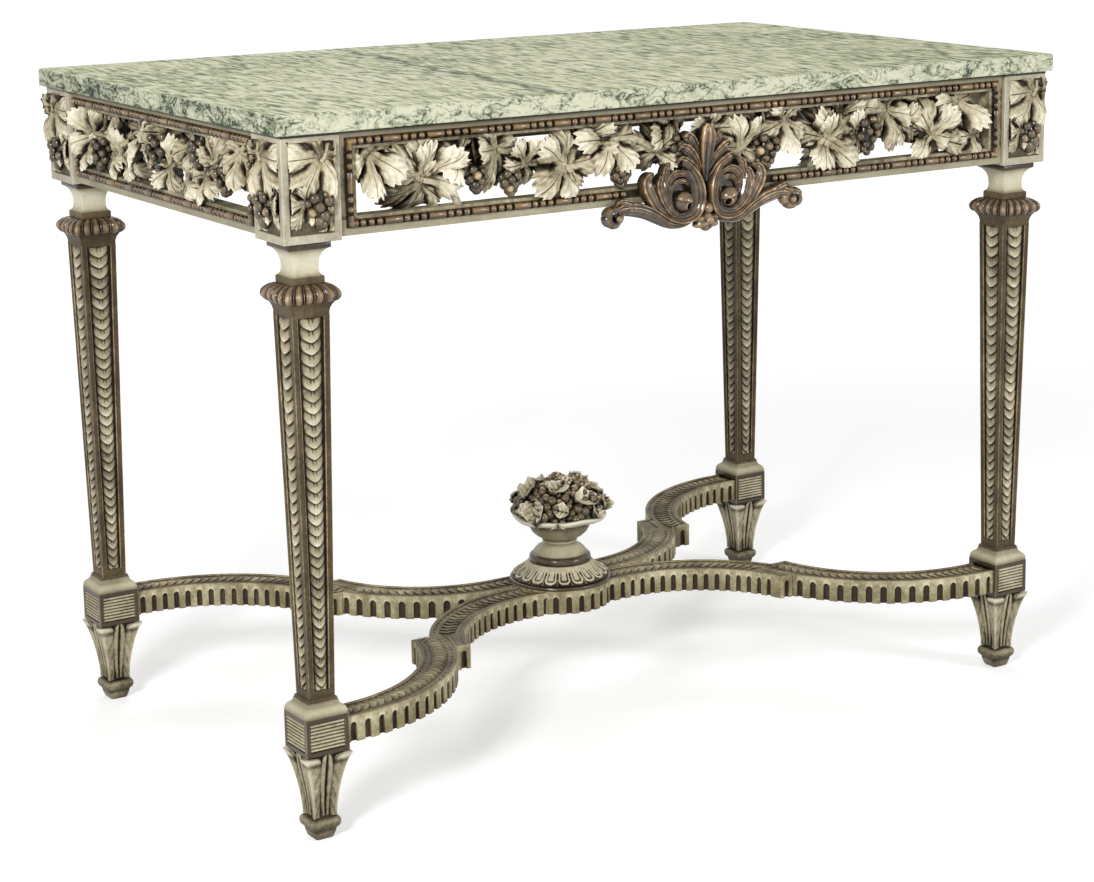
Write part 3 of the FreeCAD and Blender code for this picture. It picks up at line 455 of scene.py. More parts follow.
def hollows(points, normals, cell=2.0, reach=4.0):
    """How much carving stands close before each point: 0 on open ground, 1 in a deep hollow.

    Cells that hold points are counted and blurred, and the count is read a little way out along the
    normal."""
    low = points.min(0) - 4 * cell
    at = ((points - low) / cell).astype(int)
    filled = np.zeros(at.max(0) + 5)
    filled[tuple(at.T)] = 1.0
    for axis in (0, 1, 2) * 2:
        filled = (np.roll(filled, 1, axis) + filled + np.roll(filled, -1, axis)) / 3
    ahead = ((points + reach * normals - low) / cell).astype(int)
    ahead = np.clip(ahead, 0, np.array(filled.shape) - 1)
    return np.clip((filled[tuple(ahead.T)] - open_count) / hollow_span, 0, 1)


print("a deep hollow has a blurred count of", round(open_count + hollow_span, 2))

# %% collect grids into a piece
merge_distance = 0.01  # points of a mesh closer than this become one
smooth_angle = 38.0  # faces that meet at a larger angle, in degrees, keep a sharp edge


class Carving:
    """Closed grids of points in millimetres that become one mesh."""

    def __init__(self):
        self.points, self.quads, self.tones, self.finishes = [], [], [], []
        self.count = 0

    def add(self, grid, tone=1.0, finish=0, caps=True):
        """Adds one grid, or a stack of equal grids, with its last column joined to the first.

        Caps close the first and the last row. The finish is a place in the list that make is given."""
        grid = np.asarray(grid, float)
        grid = grid.reshape(-1, *grid.shape[-3:])
        tone = np.broadcast_to(tone, grid.shape[:3])
        if caps:
            ends = np.broadcast_to(grid[:, [0, -1]].mean(2, keepdims=True), grid[:, [0, -1]].shape)
            grid = np.concatenate([ends[:, :1], grid, ends[:, 1:]], 1)
            tone = np.concatenate([tone[:, :1], tone, tone[:, -1:]], 1)
        copies, rows, columns = grid.shape[:3]
        row, column = np.meshgrid(np.arange(rows - 1), np.arange(columns), indexing="ij")
        after = (column + 1) % columns
        near, far = row * columns, (row + 1) * columns
        quad = np.stack([near + column, near + after, far + after, far + column], -1).reshape(-1, 4)
        starts = self.count + np.arange(copies) * rows * columns
        self.quads.append((starts[:, None, None] + quad).reshape(-1, 4))
        self.points.append(grid.reshape(-1, 3))
        self.tones.append(tone.ravel())
        self.finishes.append(np.full(copies * len(quad), finish))
        self.count += copies * rows * columns

    def make(self, name, finishes, slot, replaced, glaze_and_shade=0.5):
        """Writes the mesh in the named paints, closes its seams and lets it stand for a solid.

        Glaze gathers in the hollows and the shade that falls there is painted in too: the tone sinks by the
        glaze_and_shade times the hollow."""
        mesh = bpy.data.meshes.new(name)
        points, quads = np.concatenate(self.points) * MM, np.concatenate(self.quads)
        mesh.from_pydata(points.tolist(), [], quads.tolist())
        mesh.attributes.new("tone", "FLOAT", "POINT").data.foreach_set("value", np.concatenate(self.tones))
        mesh.polygons.foreach_set("material_index", np.concatenate(self.finishes))
        for finish in finishes:
            mesh.materials.append(paint[finish])
        shells = bmesh.new()
        shells.from_mesh(mesh)
        bmesh.ops.remove_doubles(shells, verts=shells.verts, dist=merge_distance * MM)
        bmesh.ops.recalc_face_normals(shells, faces=shells.faces)
        shells.to_mesh(mesh)
        shells.free()
        mesh.shade_smooth()
        mesh.set_sharp_from_angle(angle=np.radians(smooth_angle))
        count = len(mesh.vertices)
        points, normals, tone = np.empty(count * 3), np.empty(count * 3), np.empty(count)
        mesh.vertices.foreach_get("co", points)
        mesh.vertex_normals.foreach_get("vector", normals)
        mesh.attributes["tone"].data.foreach_get("value", tone)
        # painted shade with the glaze: points in a hollow are darkened as if the hollow were shaded
        hollow = hollows(points.reshape(-1, 3) / MM, normals.reshape(-1, 3))
        mesh.attributes["tone"].data.foreach_set("value", np.clip(tone - glaze_and_shade * hollow, 0, 1))
        piece = link_object(name, mesh)
        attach(piece, "root")
        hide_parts(*replaced)
        print(name, len(mesh.polygons), "faces, mean hollow", hollow.mean().round(2))


# %% [markdown]
# A few shapes come back all over the table: a ball for grapes and beads, a tube along a smooth line for
# stems, and square rings, because legs, plinths and feet are turned on a square instead of a circle.

# %% circles, grids and slopes


def full_turn(count):
    """Angles of even steps round a circle."""
    return np.linspace(0, 2 * np.pi, count, endpoint=False)


def grid_of(*parts):
    """Grid of points from the parts of their places, each a grid, a row, a column or a number."""
    return np.stack(np.broadcast_arrays(*parts), -1)


def round_points(radius, turn, *height):
    """Points by their distance from the upright axis, direction and height."""
    return grid_of(radius * np.cos(turn), radius * np.sin(turn), *height)


def on_ring(half, ring, height):
    """Points of a ring scaled by half widths, at heights."""
    return grid_of(half * ring[..., 0], half * ring[..., 1], height)


def bell(value, width):
    """Smooth bump: 1 where the value is 0, falling away over the width."""
    return np.exp(-(value / width) ** 2)


def step_up(value, start, width):
    """0 below the start, 1 from a width above it on, and an even slope between."""
    return np.clip((value - start) / width, 0, 1)


print("a bell of width 1 falls to", round(bell(1.0, 1.0), 2), "at 1")

# %% shapes that come back


def ball(rows=6, columns=8):
    """Unit ball: rows of latitude that shrink to a point at both poles, columns round it."""
    lift = np.linspace(-np.pi / 2, np.pi / 2, rows)[:, None]
    return round_points(np.cos(lift), full_turn(columns), np.sin(lift))


def smooth_line(points, count):
    """Even steps along a curve through points that leaves each in the direction of its neighbours."""
    points = np.asarray(points, float)
    last = len(points) - 1
    step = np.linspace(0, last, count)
    at = np.minimum(step.astype(int), last - 1)
    share = (step - at)[:, None]
    before, start, end, after = (points[np.clip(at + k, 0, last)] for k in (-1, 0, 1, 2))
    swing = 3 * (start - end) + after - before
    bow = 2 * before - 5 * start + 4 * end - after
    return start + 0.5 * share * (end - before + share * (bow + share * swing))


def tube(line, radius, columns=8):
    """Round tube along a line of across, up and out points: a circle square across each step."""
    along = np.gradient(line, axis=0)
    along /= np.linalg.norm(along, axis=1, keepdims=True)
    aside = np.cross(along, (0.0, 0.0, 1.0))
    aside /= np.maximum(np.linalg.norm(aside, axis=1, keepdims=True), 1e-6)
    outward = np.cross(aside, along)
    turn = full_turn(columns)[None, :, None]
    radius = np.broadcast_to(radius, len(line))[:, None, None]
    return line[:, None] + radius * (np.cos(turn) * aside[:, None] + np.sin(turn) * outward[:, None])


def square_ring(rounding, shares=None):
    """Rounded square of half width 1 from the middle of its +X side, at perimeter shares if given."""
    bend = np.linspace(0, np.pi / 2, 9)
    corner = (1 - rounding) + rounding * round_points(1.0, bend)
    quarter = np.concatenate([[(1.0, 0.0)], corner])
    turns = [((1, 0), (0, 1)), ((0, -1), (1, 0)), ((-1, 0), (0, -1)), ((0, 1), (-1, 0))]
    ring = np.concatenate([quarter @ np.array(matrix).T for matrix in turns] + [[(1.0, 0.0)]])
    if shares is None:
        return ring[:-1]
    length = np.concatenate([[0], np.cumsum(np.linalg.norm(np.diff(ring, axis=0), axis=1))])
    return grid_of(*[np.interp(shares * length[-1], length, part) for part in ring.T])


def turned(profile, ring):
    """Baluster: each row of the profile, a half width and a height, becomes a scaled ring."""
    half, height = np.asarray(profile, float).T[..., None]
    return on_ring(half, ring, height)


def square_turned(profile, rounding):
    """Baluster turned on a square with rounded corners."""
    return turned(profile, square_ring(rounding))


def round_turned(profile, columns=64):
    """Baluster turned on a circle."""
    return turned(profile, round_points(1.0, full_turn(columns)))


def quarter_turns(grid, turns=(0, 1, 2, 3)):
    """The same grid on several sides of the upright axis, a quarter turn apart."""
    x, y, z = np.moveaxis(np.asarray(grid), -1, 0)
    places = [(x, y), (-y, x), (-x, -y), (y, -x)]
    return np.stack([grid_of(*places[turn], z) for turn in turns])


print("a ball has", len(ball().reshape(-1, 3)), "points")

# %% [markdown]
# ## Vine leaves
# The frieze is the table's finest work: a pierced board cut into vine leaves that stand clear of each
# other. A leaf could be an extruded outline, but its life is in its relief: each lobe swells and lies
# at a level of its own, its tip rolls back, side veins fold it, and a dark line painted as shadow at the
# notch and a pit, dipped and painted dark as shade, part it from the next. So a leaf is a grid in polar
# steps round its stalk. The outline says how far each direction reaches, and the height comes from the
# place across and along the lobe. Its tone follows that height, as painted light and shade. The rings
# run out over the front and back underneath.

# %% one vine leaf
LOBES = np.array([  # direction of a lobe's vein and of its two edges, then the reach at the vein and edges
    (0, -31, 31, 1.0, 0.44, 0.44), (60, 31, 96, 0.93, 0.44, 0.40), (124, 96, 170, 0.76, 0.40, 0.16),
    (236, 190, 264, 0.76, 0.16, 0.40), (300, 264, 329, 0.93, 0.40, 0.44),
])
# from vein to edge
HALF_LOBE = np.array([0.0, 0.05, 0.14, 0.24, 0.34, 0.42, 0.54, 0.64, 0.72, 0.84, 0.93, 1.0])
HALF_TEETH = np.array([0.05, 0.02, -0.03, -0.06, 0.04, 0.01, -0.06, 0.04, 0.0, -0.06, 0.03, 0.0])
LOBE_ACROSS = np.concatenate([-HALF_LOBE[:0:-1], HALF_LOBE])
LOBE_TEETH = np.concatenate([HALF_TEETH[:0:-1], HALF_TEETH])
FRONT_RINGS = np.array([0.0, 0.07, 0.16, 0.26, 0.35, 0.44, 0.53, 0.62, 0.71, 0.8, 0.88, 0.95, 1.0])
BACK_RINGS = np.array([0.95, 0.72, 0.0])


def vine_leaf(length, seed, depth=0.24, curl=1.0, full=0.38):
    """Grid and tone of a leaf that lies along its first axis and faces along its third.

    Each lobe is a crown between its two edges: one less the square of the share across. Side veins
    slant away from its own vein as broad folds. Every lobe has a level, a bend and a twist of its own,
    drawn from the seed, so that one rides over the next at the notch between them and its end rolls
    back by the bend times the square of the distance along it. A full leaf has shallow notches."""
    rng = np.random.default_rng(seed)
    vein, low, high, tip, low_reach, high_reach = LOBES.T[:, :, None]
    share = LOBE_ACROSS[None]
    sweep = rng.uniform(-9, 9, tip.shape)
    half_angle = np.where(share < 0, vein - low, high - vein)
    angle = np.radians(vein + sweep * (1 - share ** 2) + share * half_angle)
    tip = tip * rng.uniform(0.86, 1.08, tip.shape)
    edge_reach = np.where(share < 0, low_reach, high_reach)
    edge_reach = edge_reach + full * (tip - edge_reach)
    rounded = (1 - np.abs(share) ** 2.2) ** 0.75
    reach = edge_reach + (tip - edge_reach) * rounded + LOBE_TEETH * rng.uniform(0.7, 1.2, tip.shape)
    level, bend = rng.uniform(-1, 1, tip.shape), rng.uniform(-0.9, 0.25, tip.shape) * curl
    twist = rng.uniform(-0.22, 0.22, tip.shape)
    bow, fold = rng.uniform(-0.05, 0.25), rng.uniform(-0.4, 0.12)
    off = np.broadcast_to(angle - np.radians(vein + sweep), angle.shape).ravel()
    share, level, bend, twist = (
        np.broadcast_to(values, angle.shape).ravel() for values in (share, level, bend, twist))
    angle, reach = angle.ravel(), reach.ravel()
    ring = np.concatenate([FRONT_RINGS, BACK_RINGS])[:, None]
    under = np.arange(len(ring))[:, None] >= len(FRONT_RINGS)
    radius = ring * reach
    along, beside = radius * np.cos(off), radius * np.abs(np.sin(off))
    crown, swell = 1 - share ** 2, np.sin(np.pi * np.abs(share)) ** 2
    fade = step_up(ring, 0.26, 0.5)
    cleft = (1.2 - full) / 0.82  # a full leaf is hardly cut
    folds = np.cos(2 * np.pi * (along / 0.25 - beside / 0.2)) * fade * swell
    # painted shadow and highlight: the small cut beside each vein is painted dark as its shadow, and the
    # vein itself (share == 0 below) is painted pale as its highlight
    line = np.where((share == HALF_LOBE[1]) & (ring > 0.1) & (ring < 0.9), 1.0, 0.0)  # cut beside a vein
    # painted shadow: a dark line at each notch, where one lobe rides over the next; the pit below is dipped
    # a little and painted dark as the shade in it
    notch_shadow = cleft * bell(1 - np.abs(share), 0.16) * step_up(ring, 0.4, 0.2)
    hole = cleft ** 2 * bell(1 - np.abs(share), 0.4) * bell(ring - 0.5, 0.11)
    x, y = radius * np.cos(angle), radius * np.sin(angle)
    body = 0.24 * crown + 0.13 * level + 0.06 * swell
    height = cleft * body * fade * (1 - 0.35 * ring) + bend * along ** 2
    height = height + 0.035 * folds - 0.03 * line + 0.02 * (share == 0) - 0.09 * hole - 0.05 * ring ** 6
    height = height - bow * x * np.abs(x) + fold * y ** 2 + twist * share * along
    drop = np.where(under, np.where(ring > 0.9, 0.07, depth), 0.0)
    grid = grid_of(x, y, height - drop) * length
    # painted light and shade: the tone rises with the height, so crowns, folds and high lobes are lighter,
    # low parts and the stalk's base darker; the pale rim (ring ** 8) is wear
    tone = 0.5 + 0.14 * crown * fade + 0.2 * folds - 0.55 * notch_shadow - 0.5 * hole - 0.4 * line
    tone = tone + 0.24 * (share == 0) + 0.25 * ring ** 8 + 0.08 * level
    tone = tone + np.clip(1.1 * height, -0.42, 0.14) - 0.15 * bell(ring, 0.08)
    return grid, np.where(under, 0.06, np.clip(tone, 0.02, 1.0))


print("a leaf is a grid of", vine_leaf(50.0, 1)[1].shape)

# %% turn a leaf and keep it on its board


def rotation(direction, tip_lift, roll):
    """Matrix that rolls a shape about its length, lifts its tip and turns it in the plane, by degrees."""
    turn, lift, roll = np.radians((direction, tip_lift, roll))
    about_length = np.array([[1, 0, 0], [0, np.cos(roll), -np.sin(roll)], [0, np.sin(roll), np.cos(roll)]])
    about_width = np.array([[np.cos(lift), 0, -np.sin(lift)], [0, 1, 0], [np.sin(lift), 0, np.cos(lift)]])
    in_plane = np.array([[np.cos(turn), -np.sin(turn), 0], [np.sin(turn), np.cos(turn), 0], [0, 0, 1]])
    return in_plane @ about_width @ about_length


def soft_limit(value, limit):
    """Value that stays as it is near 0 and never passes the limit, where the board ends."""
    return value / (1 + np.abs(value / limit) ** 24) ** (1 / 24)


def within(grid, across_limit, up_limit):
    """Grid of across, up and out points, kept inside a board of these half sizes."""
    across, up, out = np.moveaxis(grid, -1, 0)
    return grid_of(soft_limit(across, across_limit), soft_limit(up, up_limit), out)


print("a limit of 45 brings 60 to", round(soft_limit(60.0, 45.0), 1))

# %% [markdown]
# Grapes hang between the leaves. A bunch could be a heap of balls placed one by one. Here it is a stack
# of one small ball round a core painted dark as the shade inside the bunch, set by the golden angle, as
# seeds sit in a sunflower, so no rows show. It narrows to a point at its lower end. Each grape is
# painted lighter on the side that faces out, as a highlight.

# %% one bunch of grapes
GOLDEN_ANGLE = np.pi * (3 - 5 ** 0.5)


def grape_bunch(length, grape, seed, count=20):
    """Stack of balls and their tones: a bunch that hangs from the origin round a core painted dark as the
    shade inside it, each grape with a painted highlight on the side that faces out.
    """
    rng = np.random.default_rng(seed)
    share = (np.arange(count) + 0.5) / count
    swell = 0.29 * length * np.sin(np.pi * (0.2 + 0.78 * share ** 0.8))
    turn = np.arange(count) * GOLDEN_ANGLE
    down = grape + share * (length - 2 * grape)
    middles = grid_of(swell * np.cos(turn), -down, 0.8 * swell * np.sin(turn))
    sizes = grape * rng.uniform(0.88, 1.12, count)
    balls = middles[:, None, None] + sizes[:, None, None, None] * ball(7, 10)
    # painted highlight: each grape is lighter on the side that faces out; the core below is painted dark as
    # the shade inside the bunch
    tone = np.clip(0.42 + 0.3 * ball(7, 10)[None, ..., 2] + 0.1 * rng.normal(size=(count, 1, 1)), 0.05, 1.0)
    core = ball(7, 10) * (0.2 * length, 0.4 * length, 0.16 * length) - (0, 0.46 * length, 0)
    return np.concatenate([balls, core[None]]), np.concatenate([tone, np.zeros_like(tone[:1])])


print("a bunch is a stack of", grape_bunch(40.0, 4.0, 1)[0].shape)

# %% [markdown]
# ## The pierced frieze
# Each side has its own row of leaves. The tables below list, for a long and a short side, where each
# stalk starts and where it points. Hanging leaves come from the top edge; the others spring from stems
# that rise from the lower edge. A second row of leaves stands behind the first, painted darker as the
# shade it stands in. Nothing closes the gaps between them, so the room behind shows through.

# %% leaves, stems and grapes of the four sides
LONG_LEAVES = [  # across, up from the middle, direction, length, tip lift, roll
    (-428, 30, -100, 52, 8, 8), (-362, -2, 149, 52, 14, -10), (-356, -2, 40, 52, 10, 14),
    (-362, -8, -155, 52, 14, -14), (-267, 20, -118, 46, 16, -14), (-179, -4, 143, 54, 12, 14),
    (-177, -4, 60, 44, 6, -16), (-120, 20, -121, 48, 14, 10), (-59, 2, 95, 40, 8, -12),
    (61, -5, 102, 44, 8, 12), (125, 24, -95, 42, 16, -10), (180, -2, 108, 44, 6, 14),
    (184, -2, 34, 56, 12, -14), (186, -6, -34, 50, 4, 12), (276, 24, -71, 50, 14, -12),
    (347, -10, 104, 48, 6, -14), (350, -14, -14, 54, 10, 14), (390, 28, -44, 56, 12, -12),
    (-230, 2, 60, 36, 4, 10), (-312, 20, -70, 38, 6, -8), (232, -4, 160, 34, 4, 8),
    (300, 4, 30, 36, 4, -10), (20, 22, -60, 36, 8, 8), (418, -16, 60, 40, 6, 8),
]
LONG_BUNCHES = [  # across, up, length
    (-295, 9, 36), (-252, 0, 34), (-108, -6, 32), (96, 13, 46), (245, 20, 50), (-28, 22, 38),
]
LONG_STEMS = [  # lines of across, up and out points
    [(-312, -40, -9), (-322, -22, -6), (-342, -10, -3), (-360, -5, -2)],
    [(-163, -40, -9), (-166, -24, -5), (-179, -4, -3)],
    [(0, -40, -9), (-4, -20, -6), (-26, 0, -4), (-59, 4, -3)],
    [(0, -40, -9), (10, -22, -6), (34, -13, -4), (61, -5, -3)],
    [(166, -40, -9), (170, -22, -5), (182, -2, -3)],
    [(330, -40, -9), (336, -27, -5), (348, -13, -3)],
    [(-59, 4, -5), (-88, 18, -6), (-120, 19, -4)], [(61, -5, -5), (92, 16, -7), (125, 23, -4)],
    [(-179, -4, -5), (-225, 8, -8), (-267, 20, -4)], [(182, -2, -5), (232, 20, -7), (276, 23, -4)],
    [(-360, -5, -5), (-390, 20, -8), (-412, 23, -4)], [(348, -13, -5), (374, 8, -8), (390, 27, -4)],
]
SHORT_LEAVES = [
    (-195, 6, 137, 48, 10, 14), (-107, -10, 124, 54, 10, -12), (-54, 24, -60, 50, 14, 12),
    (69, -16, 102, 52, 6, -12), (141, 10, 42, 46, 10, 14), (205, 26, -82, 50, 14, -12),
    (-130, -8, -150, 46, 4, 12), (24, -8, 160, 42, 8, 12), (-85, -12, 30, 38, 6, 8),
    (118, -6, -40, 42, 4, -8), (-206, -6, -110, 36, 6, 8),
]
SHORT_BUNCHES = [(-166, 8, 43), (2, 30, 50), (104, 32, 34), (172, 16, 42)]
SHORT_STEMS = [
    [(-85, -40, -9), (-92, -24, -6), (-107, -10, -3)], [(-107, -10, -5), (-150, 6, -7), (-195, 8, -4)],
    [(-107, -10, -6), (-82, 16, -8), (-54, 23, -4)], [(75, -40, -9), (74, -30, -5), (69, -18, -3)],
    [(69, -18, -5), (104, 0, -8), (141, 10, -4)], [(141, 10, -6), (176, 28, -7), (205, 26, -4)],
]
print(len(LONG_LEAVES), "leaves on a long side and", len(SHORT_LEAVES), "on a short one")

# %% carve the four friezes
upper_bar, lower_bar = node_box("front_upper_rail"), node_box("front_lower_rail")
opening_low, opening_high = lower_bar[1][2], upper_bar[0][2]
frieze_middle = (opening_low + opening_high) / 2
block_low, block_high = node_box("corner_block_back_right")
long_half, short_half = block_low[0], block_low[1]
REACH = {"front": front_reach, "back": front_reach, "right": side_reach, "left": side_reach}
HALF = {"front": long_half, "back": long_half, "right": short_half, "left": short_half}
panel_stile, panel_edge, panel_depth = 21.0, 3.0, 20.0
leaf_depth = -2.0  # where the stalks start, measured out from the rail's face
short_scale = 0.9  # leaves of a short side are a little smaller
back_step, back_length, back_up, back_depth = 61.0, 42.0, 20.0, -13.0  # the second row of leaves
back_margin, back_shade = (66.0, 60.0), 0.15  # free ends of that row, and how much darker it is
LEAF_SEED, BACK_SEED, BUNCH_SEED = 100, 150, 200
grape_radius, stem_steps, stem_radius, stalk_radius = 5.3, 14, (4.8, 3.2), 1.8
leaf_limit = (opening_high - opening_low) / 2 + 1.0
frieze_margin = 16.0  # leaves stay this far inside the ends of a frieze
LONG_SIDE, SHORT_SIDE = (LONG_LEAVES, LONG_BUNCHES, LONG_STEMS), (SHORT_LEAVES, SHORT_BUNCHES, SHORT_STEMS)


def on_side(grid, name):
    """Moves a grid of across, up and out points to a side; out is measured from the rail's face."""
    across, height, out = np.moveaxis(np.asarray(grid, float), -1, 0)
    return quarter_turns(grid_of(across, -(REACH[name] + out), height), (SIDES[name] // 90,))[0]


def in_frieze(grid, half):
    """Keeps a grid, measured from the frieze's middle, within its opening, and lifts it to its height."""
    return within(grid, half - frieze_margin, leaf_limit) + (0, frieze_middle, 0)


def frame_grid(half, low, high, stile, edge, front, back):
    """Flat picture frame: its mitred corners, the first one twice, by four points of its section."""
    corners = [(-1, low, 1), (1, low, 1), (1, high, -1), (-1, high, -1), (-1, low, 1)]
    side, level, inward = np.array(corners).T[..., None]
    inner = np.array([0, 1, 1, 0])
    out = np.array([front, front, back, back])
    return grid_of(side * (half - stile * inner), level + inward * edge * inner, out)


for name in SIDES:
    long = HALF[name] == long_half
    leaves, bunches, stems = LONG_SIDE if long else SHORT_SIDE
    frieze, half = Carving(), HALF[name]
    border = frame_grid(half, opening_low, opening_high, panel_stile, panel_edge, -1.0, -panel_depth)
    frieze.add(on_side(border, name), 0.42, caps=False)
    for place, (across, up, direction, length, tip_lift, roll) in enumerate(leaves):
        grid, tone = vine_leaf(length * (1.0 if long else short_scale), LEAF_SEED + place)
        grid = grid @ rotation(direction, tip_lift, roll).T + (across, up, leaf_depth)
        frieze.add(on_side(in_frieze(grid, half), name), tone, caps=False)
    back_places = np.arange(back_margin[0] - half, half - back_margin[1], back_step * (2 if long else 1))
    for place, across in enumerate(back_places):
        grid, tone = vine_leaf(back_length, BACK_SEED + place)
        grid = grid @ rotation(-100 + 75 * (place % 3 - 1), 8, 8).T + (across, back_up, back_depth)
        # painted shade: the back row is painted darker, as it stands in shade behind the first
        frieze.add(on_side(in_frieze(grid, half), name), tone - back_shade, caps=False)
    for line in stems:
        points = smooth_line(np.array(line, float) + (0, frieze_middle, 0), stem_steps)
        frieze.add(on_side(tube(points, np.linspace(*stem_radius, stem_steps)), name), 0.58)
    for place, (across, up, length) in enumerate(bunches):
        balls, tone = grape_bunch(length, grape_radius, BUNCH_SEED + place)
        frieze.add(on_side(balls + (across, frieze_middle + up, -1.0), name), tone, 1, caps=False)
        stalk = smooth_line([(across, opening_high, -9), (across + 2, frieze_middle + up - 4, -4)], 5)
        frieze.add(on_side(tube(stalk, stalk_radius), name), 0.4)
    frieze.make(f"{name}_vine_carving", ["carved_cream", "grape_bronze"], "vine_paint",
                [f"{name}_vine_panel"])

# %% [markdown]
# ## Bead and reel
# A fine moulding frames each frieze: three round beads, one long reel, and so on, with a short reel at
# each corner. It could be one swept profile, but beads are separate balls on a dark bed, so a row is a
# list of places for a ball and a spindle. The lower row on a long side stops where the scroll carving
# covers it.

# %% rows of beads and reels
bead_width, bead_step, reel_step, corner_step = 7.5, 10.2, 23.6, 13.0
# width over the moulding's, and a bead's half length
bead_swell, reel_swell, longest_bead = 1.24, 1.16, 5.8
bead_out, bed_half = 0.8, 4.5
LONG_REPEATS, SHORT_REPEATS = 16, 8  # how often beads and a reel follow each other along a row
scroll_half_width = 97.0
SPINDLE = np.array([(-1.0, 0.0), (-0.99, 0.55), (-0.94, 0.86), (-0.84, 1.0), (0.84, 1.0), (0.94, 0.86),
                    (0.99, 0.55), (1.0, 0.0)])


def spindle(columns=12):
    """Unit reel along the first axis: rounded at both ends and straight between."""
    (along, half), turn = SPINDLE.T[..., None], full_turn(columns)
    return grid_of(along, half * np.cos(turn), half * np.sin(turn))


def row_places(total, repeats, beads):
    """Middles and half lengths of beads and reels between corner reels, scaled to fill the total."""
    group = [bead_step] * beads
    steps = [corner_step] + (group + [reel_step]) * repeats + group + [corner_step]
    steps = np.array(steps) * total / sum(steps)
    ends = np.cumsum(steps)
    return ends - steps / 2 - total / 2, steps / 2 - 0.5


def bead_row(total, repeats, beads, gap):
    """Stacks of balls and spindles along the first axis, left out within the gap from the middle."""
    middles, halves = row_places(total, repeats, beads)
    kept = np.abs(middles) >= gap
    round_ones = kept & (halves < longest_bead)
    reels = kept & ~round_ones
    radius = bead_width / 2
    balls = ball(7, 10)[None] * radius * bead_swell + middles[round_ones][:, None, None, None] * (1, 0, 0)
    sizes = grid_of(halves[reels], radius * reel_swell, radius * reel_swell)
    shape = spindle()[None] * sizes[:, None, None]
    return balls, shape + middles[reels][:, None, None, None] * (1, 0, 0)


def bead_tone(shapes):
    """Wear and a painted highlight on the part that faces out, a painted highlight on the upper side, glaze
    in the gaps.
    """
    crown = np.clip(shapes[..., 2] / (1.2 * bead_width / 2), 0, 1)
    upper = np.clip(shapes[..., 1] / (bead_width / 2), -1, 1)
    # painted highlight: the crown (crown ** 5) and the upper side (upper) are lighter as if lit from above
    # and in front; the rest of the crown term is wear
    return np.clip(0.06 + 0.3 * crown + 0.36 * crown ** 5 + 0.28 * upper * crown, 0, 1)


print(len(row_places(1.0, LONG_REPEATS, 3)[0]), "beads and reels in a long row")

# %% beads round the friezes
for name in SIDES:
    low, high = node_box(f"{name}_bead_moulding")
    long = HALF[name] == long_half
    half = (high - low)[0 if long else 1] / 2 - bead_width / 2
    row_low, row_high = low[2] + bead_width / 2, high[2] - bead_width / 2
    repeats = LONG_REPEATS if long else SHORT_REPEATS
    beads = Carving()
    for height, gap in ((row_high, 0.0), (row_low, scroll_half_width if long else 0.0)):
        for shapes in bead_row(2 * half + bead_width, repeats, 3, gap):
            beads.add(on_side(shapes + (0, height, bead_out), name), bead_tone(shapes), caps=False)
    for sign in (-1, 1):
        for shapes in bead_row(row_high - row_low + bead_width, 1, 2, 0.0):
            upright_shapes = shapes[..., [1, 0, 2]] + (sign * half, (row_low + row_high) / 2, bead_out)
            beads.add(on_side(upright_shapes, name), bead_tone(shapes), caps=False)
    bed_ends = (half + bed_half, row_low - bed_half, row_high + bed_half)
    bed = frame_grid(*bed_ends, 2 * bed_half, 2 * bed_half, 0.4, -1.0)
    beads.add(on_side(bed, name), 0.12, 1, caps=False)
    beads.make(f"{name}_bead_and_reel", ["bead_bronze", "brown_glaze"], "bronzed_paint",
               [f"{name}_bead_moulding"])

# %% [markdown]
# ## The scroll carving
# In the middle of each long side hangs a bronzed scroll. On each half, leaf lobes curl round a drilled
# eye, and an arm runs out to a rolled end. A fan of lobes with a grooved finger rises in the middle,
# and a bud hangs below. A lobe could be an extruded outline, but what catches the light is its raised
# edge. So a ridged section is carried along that edge, a smooth line through a few points, and each
# point also gives the width.

# %% lobes
LOBE_SECTION = np.array([  # share of the width inward from the raised edge, share of the thickness, tone
    (-0.14, -1.3, 0.0), (-0.12, 0.3, 0.2), (-0.05, 0.9, 0.5), (0.02, 1.0, 0.78), (0.08, 0.9, 0.48),
    (0.14, 0.72, 0.14), (0.26, 0.94, 0.46), (0.34, 0.96, 0.5), (0.42, 0.84, 0.2), (0.54, 0.95, 0.48),
    (0.64, 0.72, 0.14), (0.76, 0.74, 0.4), (0.9, 0.36, 0.1), (1.0, 0.0, 0.0), (1.0, -1.3, 0.0),
])
RIM_SECTION = np.array([
    (-0.18, -1.3, 0.0), (-0.15, 0.3, 0.3), (-0.07, 0.88, 0.54), (0.0, 1.0, 0.76), (0.07, 0.88, 0.5),
    (0.15, 0.62, 0.14), (0.24, 0.72, 0.42), (0.33, 0.64, 0.36), (0.42, 0.36, 0.08), (0.54, 0.48, 0.38),
    (0.66, 0.36, 0.24), (0.78, 0.14, 0.05), (1.0, 0.1, 0.0), (1.0, -1.3, 0.0),
])


def lobe(points, thick, side, section, steps=26):
    """Leaf lobe along its raised edge: rows of across, up, out and width become a grid and its tone.

    At each step the section lies square across the edge. Side 1 puts the lobe's face to the left of the
    way along it."""
    line = smooth_line(points, steps)
    along = np.gradient(line[:, :2], axis=0)
    along /= np.linalg.norm(along, axis=1, keepdims=True)
    aside = side * grid_of(-along[:, 1], along[:, 0], 0.0)
    wide = (line[:, 3:] * section[:, 0])[..., None] * aside[:, None]
    end = np.clip(line[:, 3:] / 8.0, 0.3, 1.0)  # a lobe thins where it narrows
    high = (thick * end * section[:, 1])[..., None] * np.array([0.0, 0.0, 1.0])
    lightness = 0.92 + 0.2 * np.sin(1.7 * np.arange(steps) + line[0, 0])[:, None]
    return line[:, None, :3] + wide + high, lightness * section[:, 2]


print("a lobe has", len(LOBE_SECTION), "points across it")

# %% finger, eye and end roll


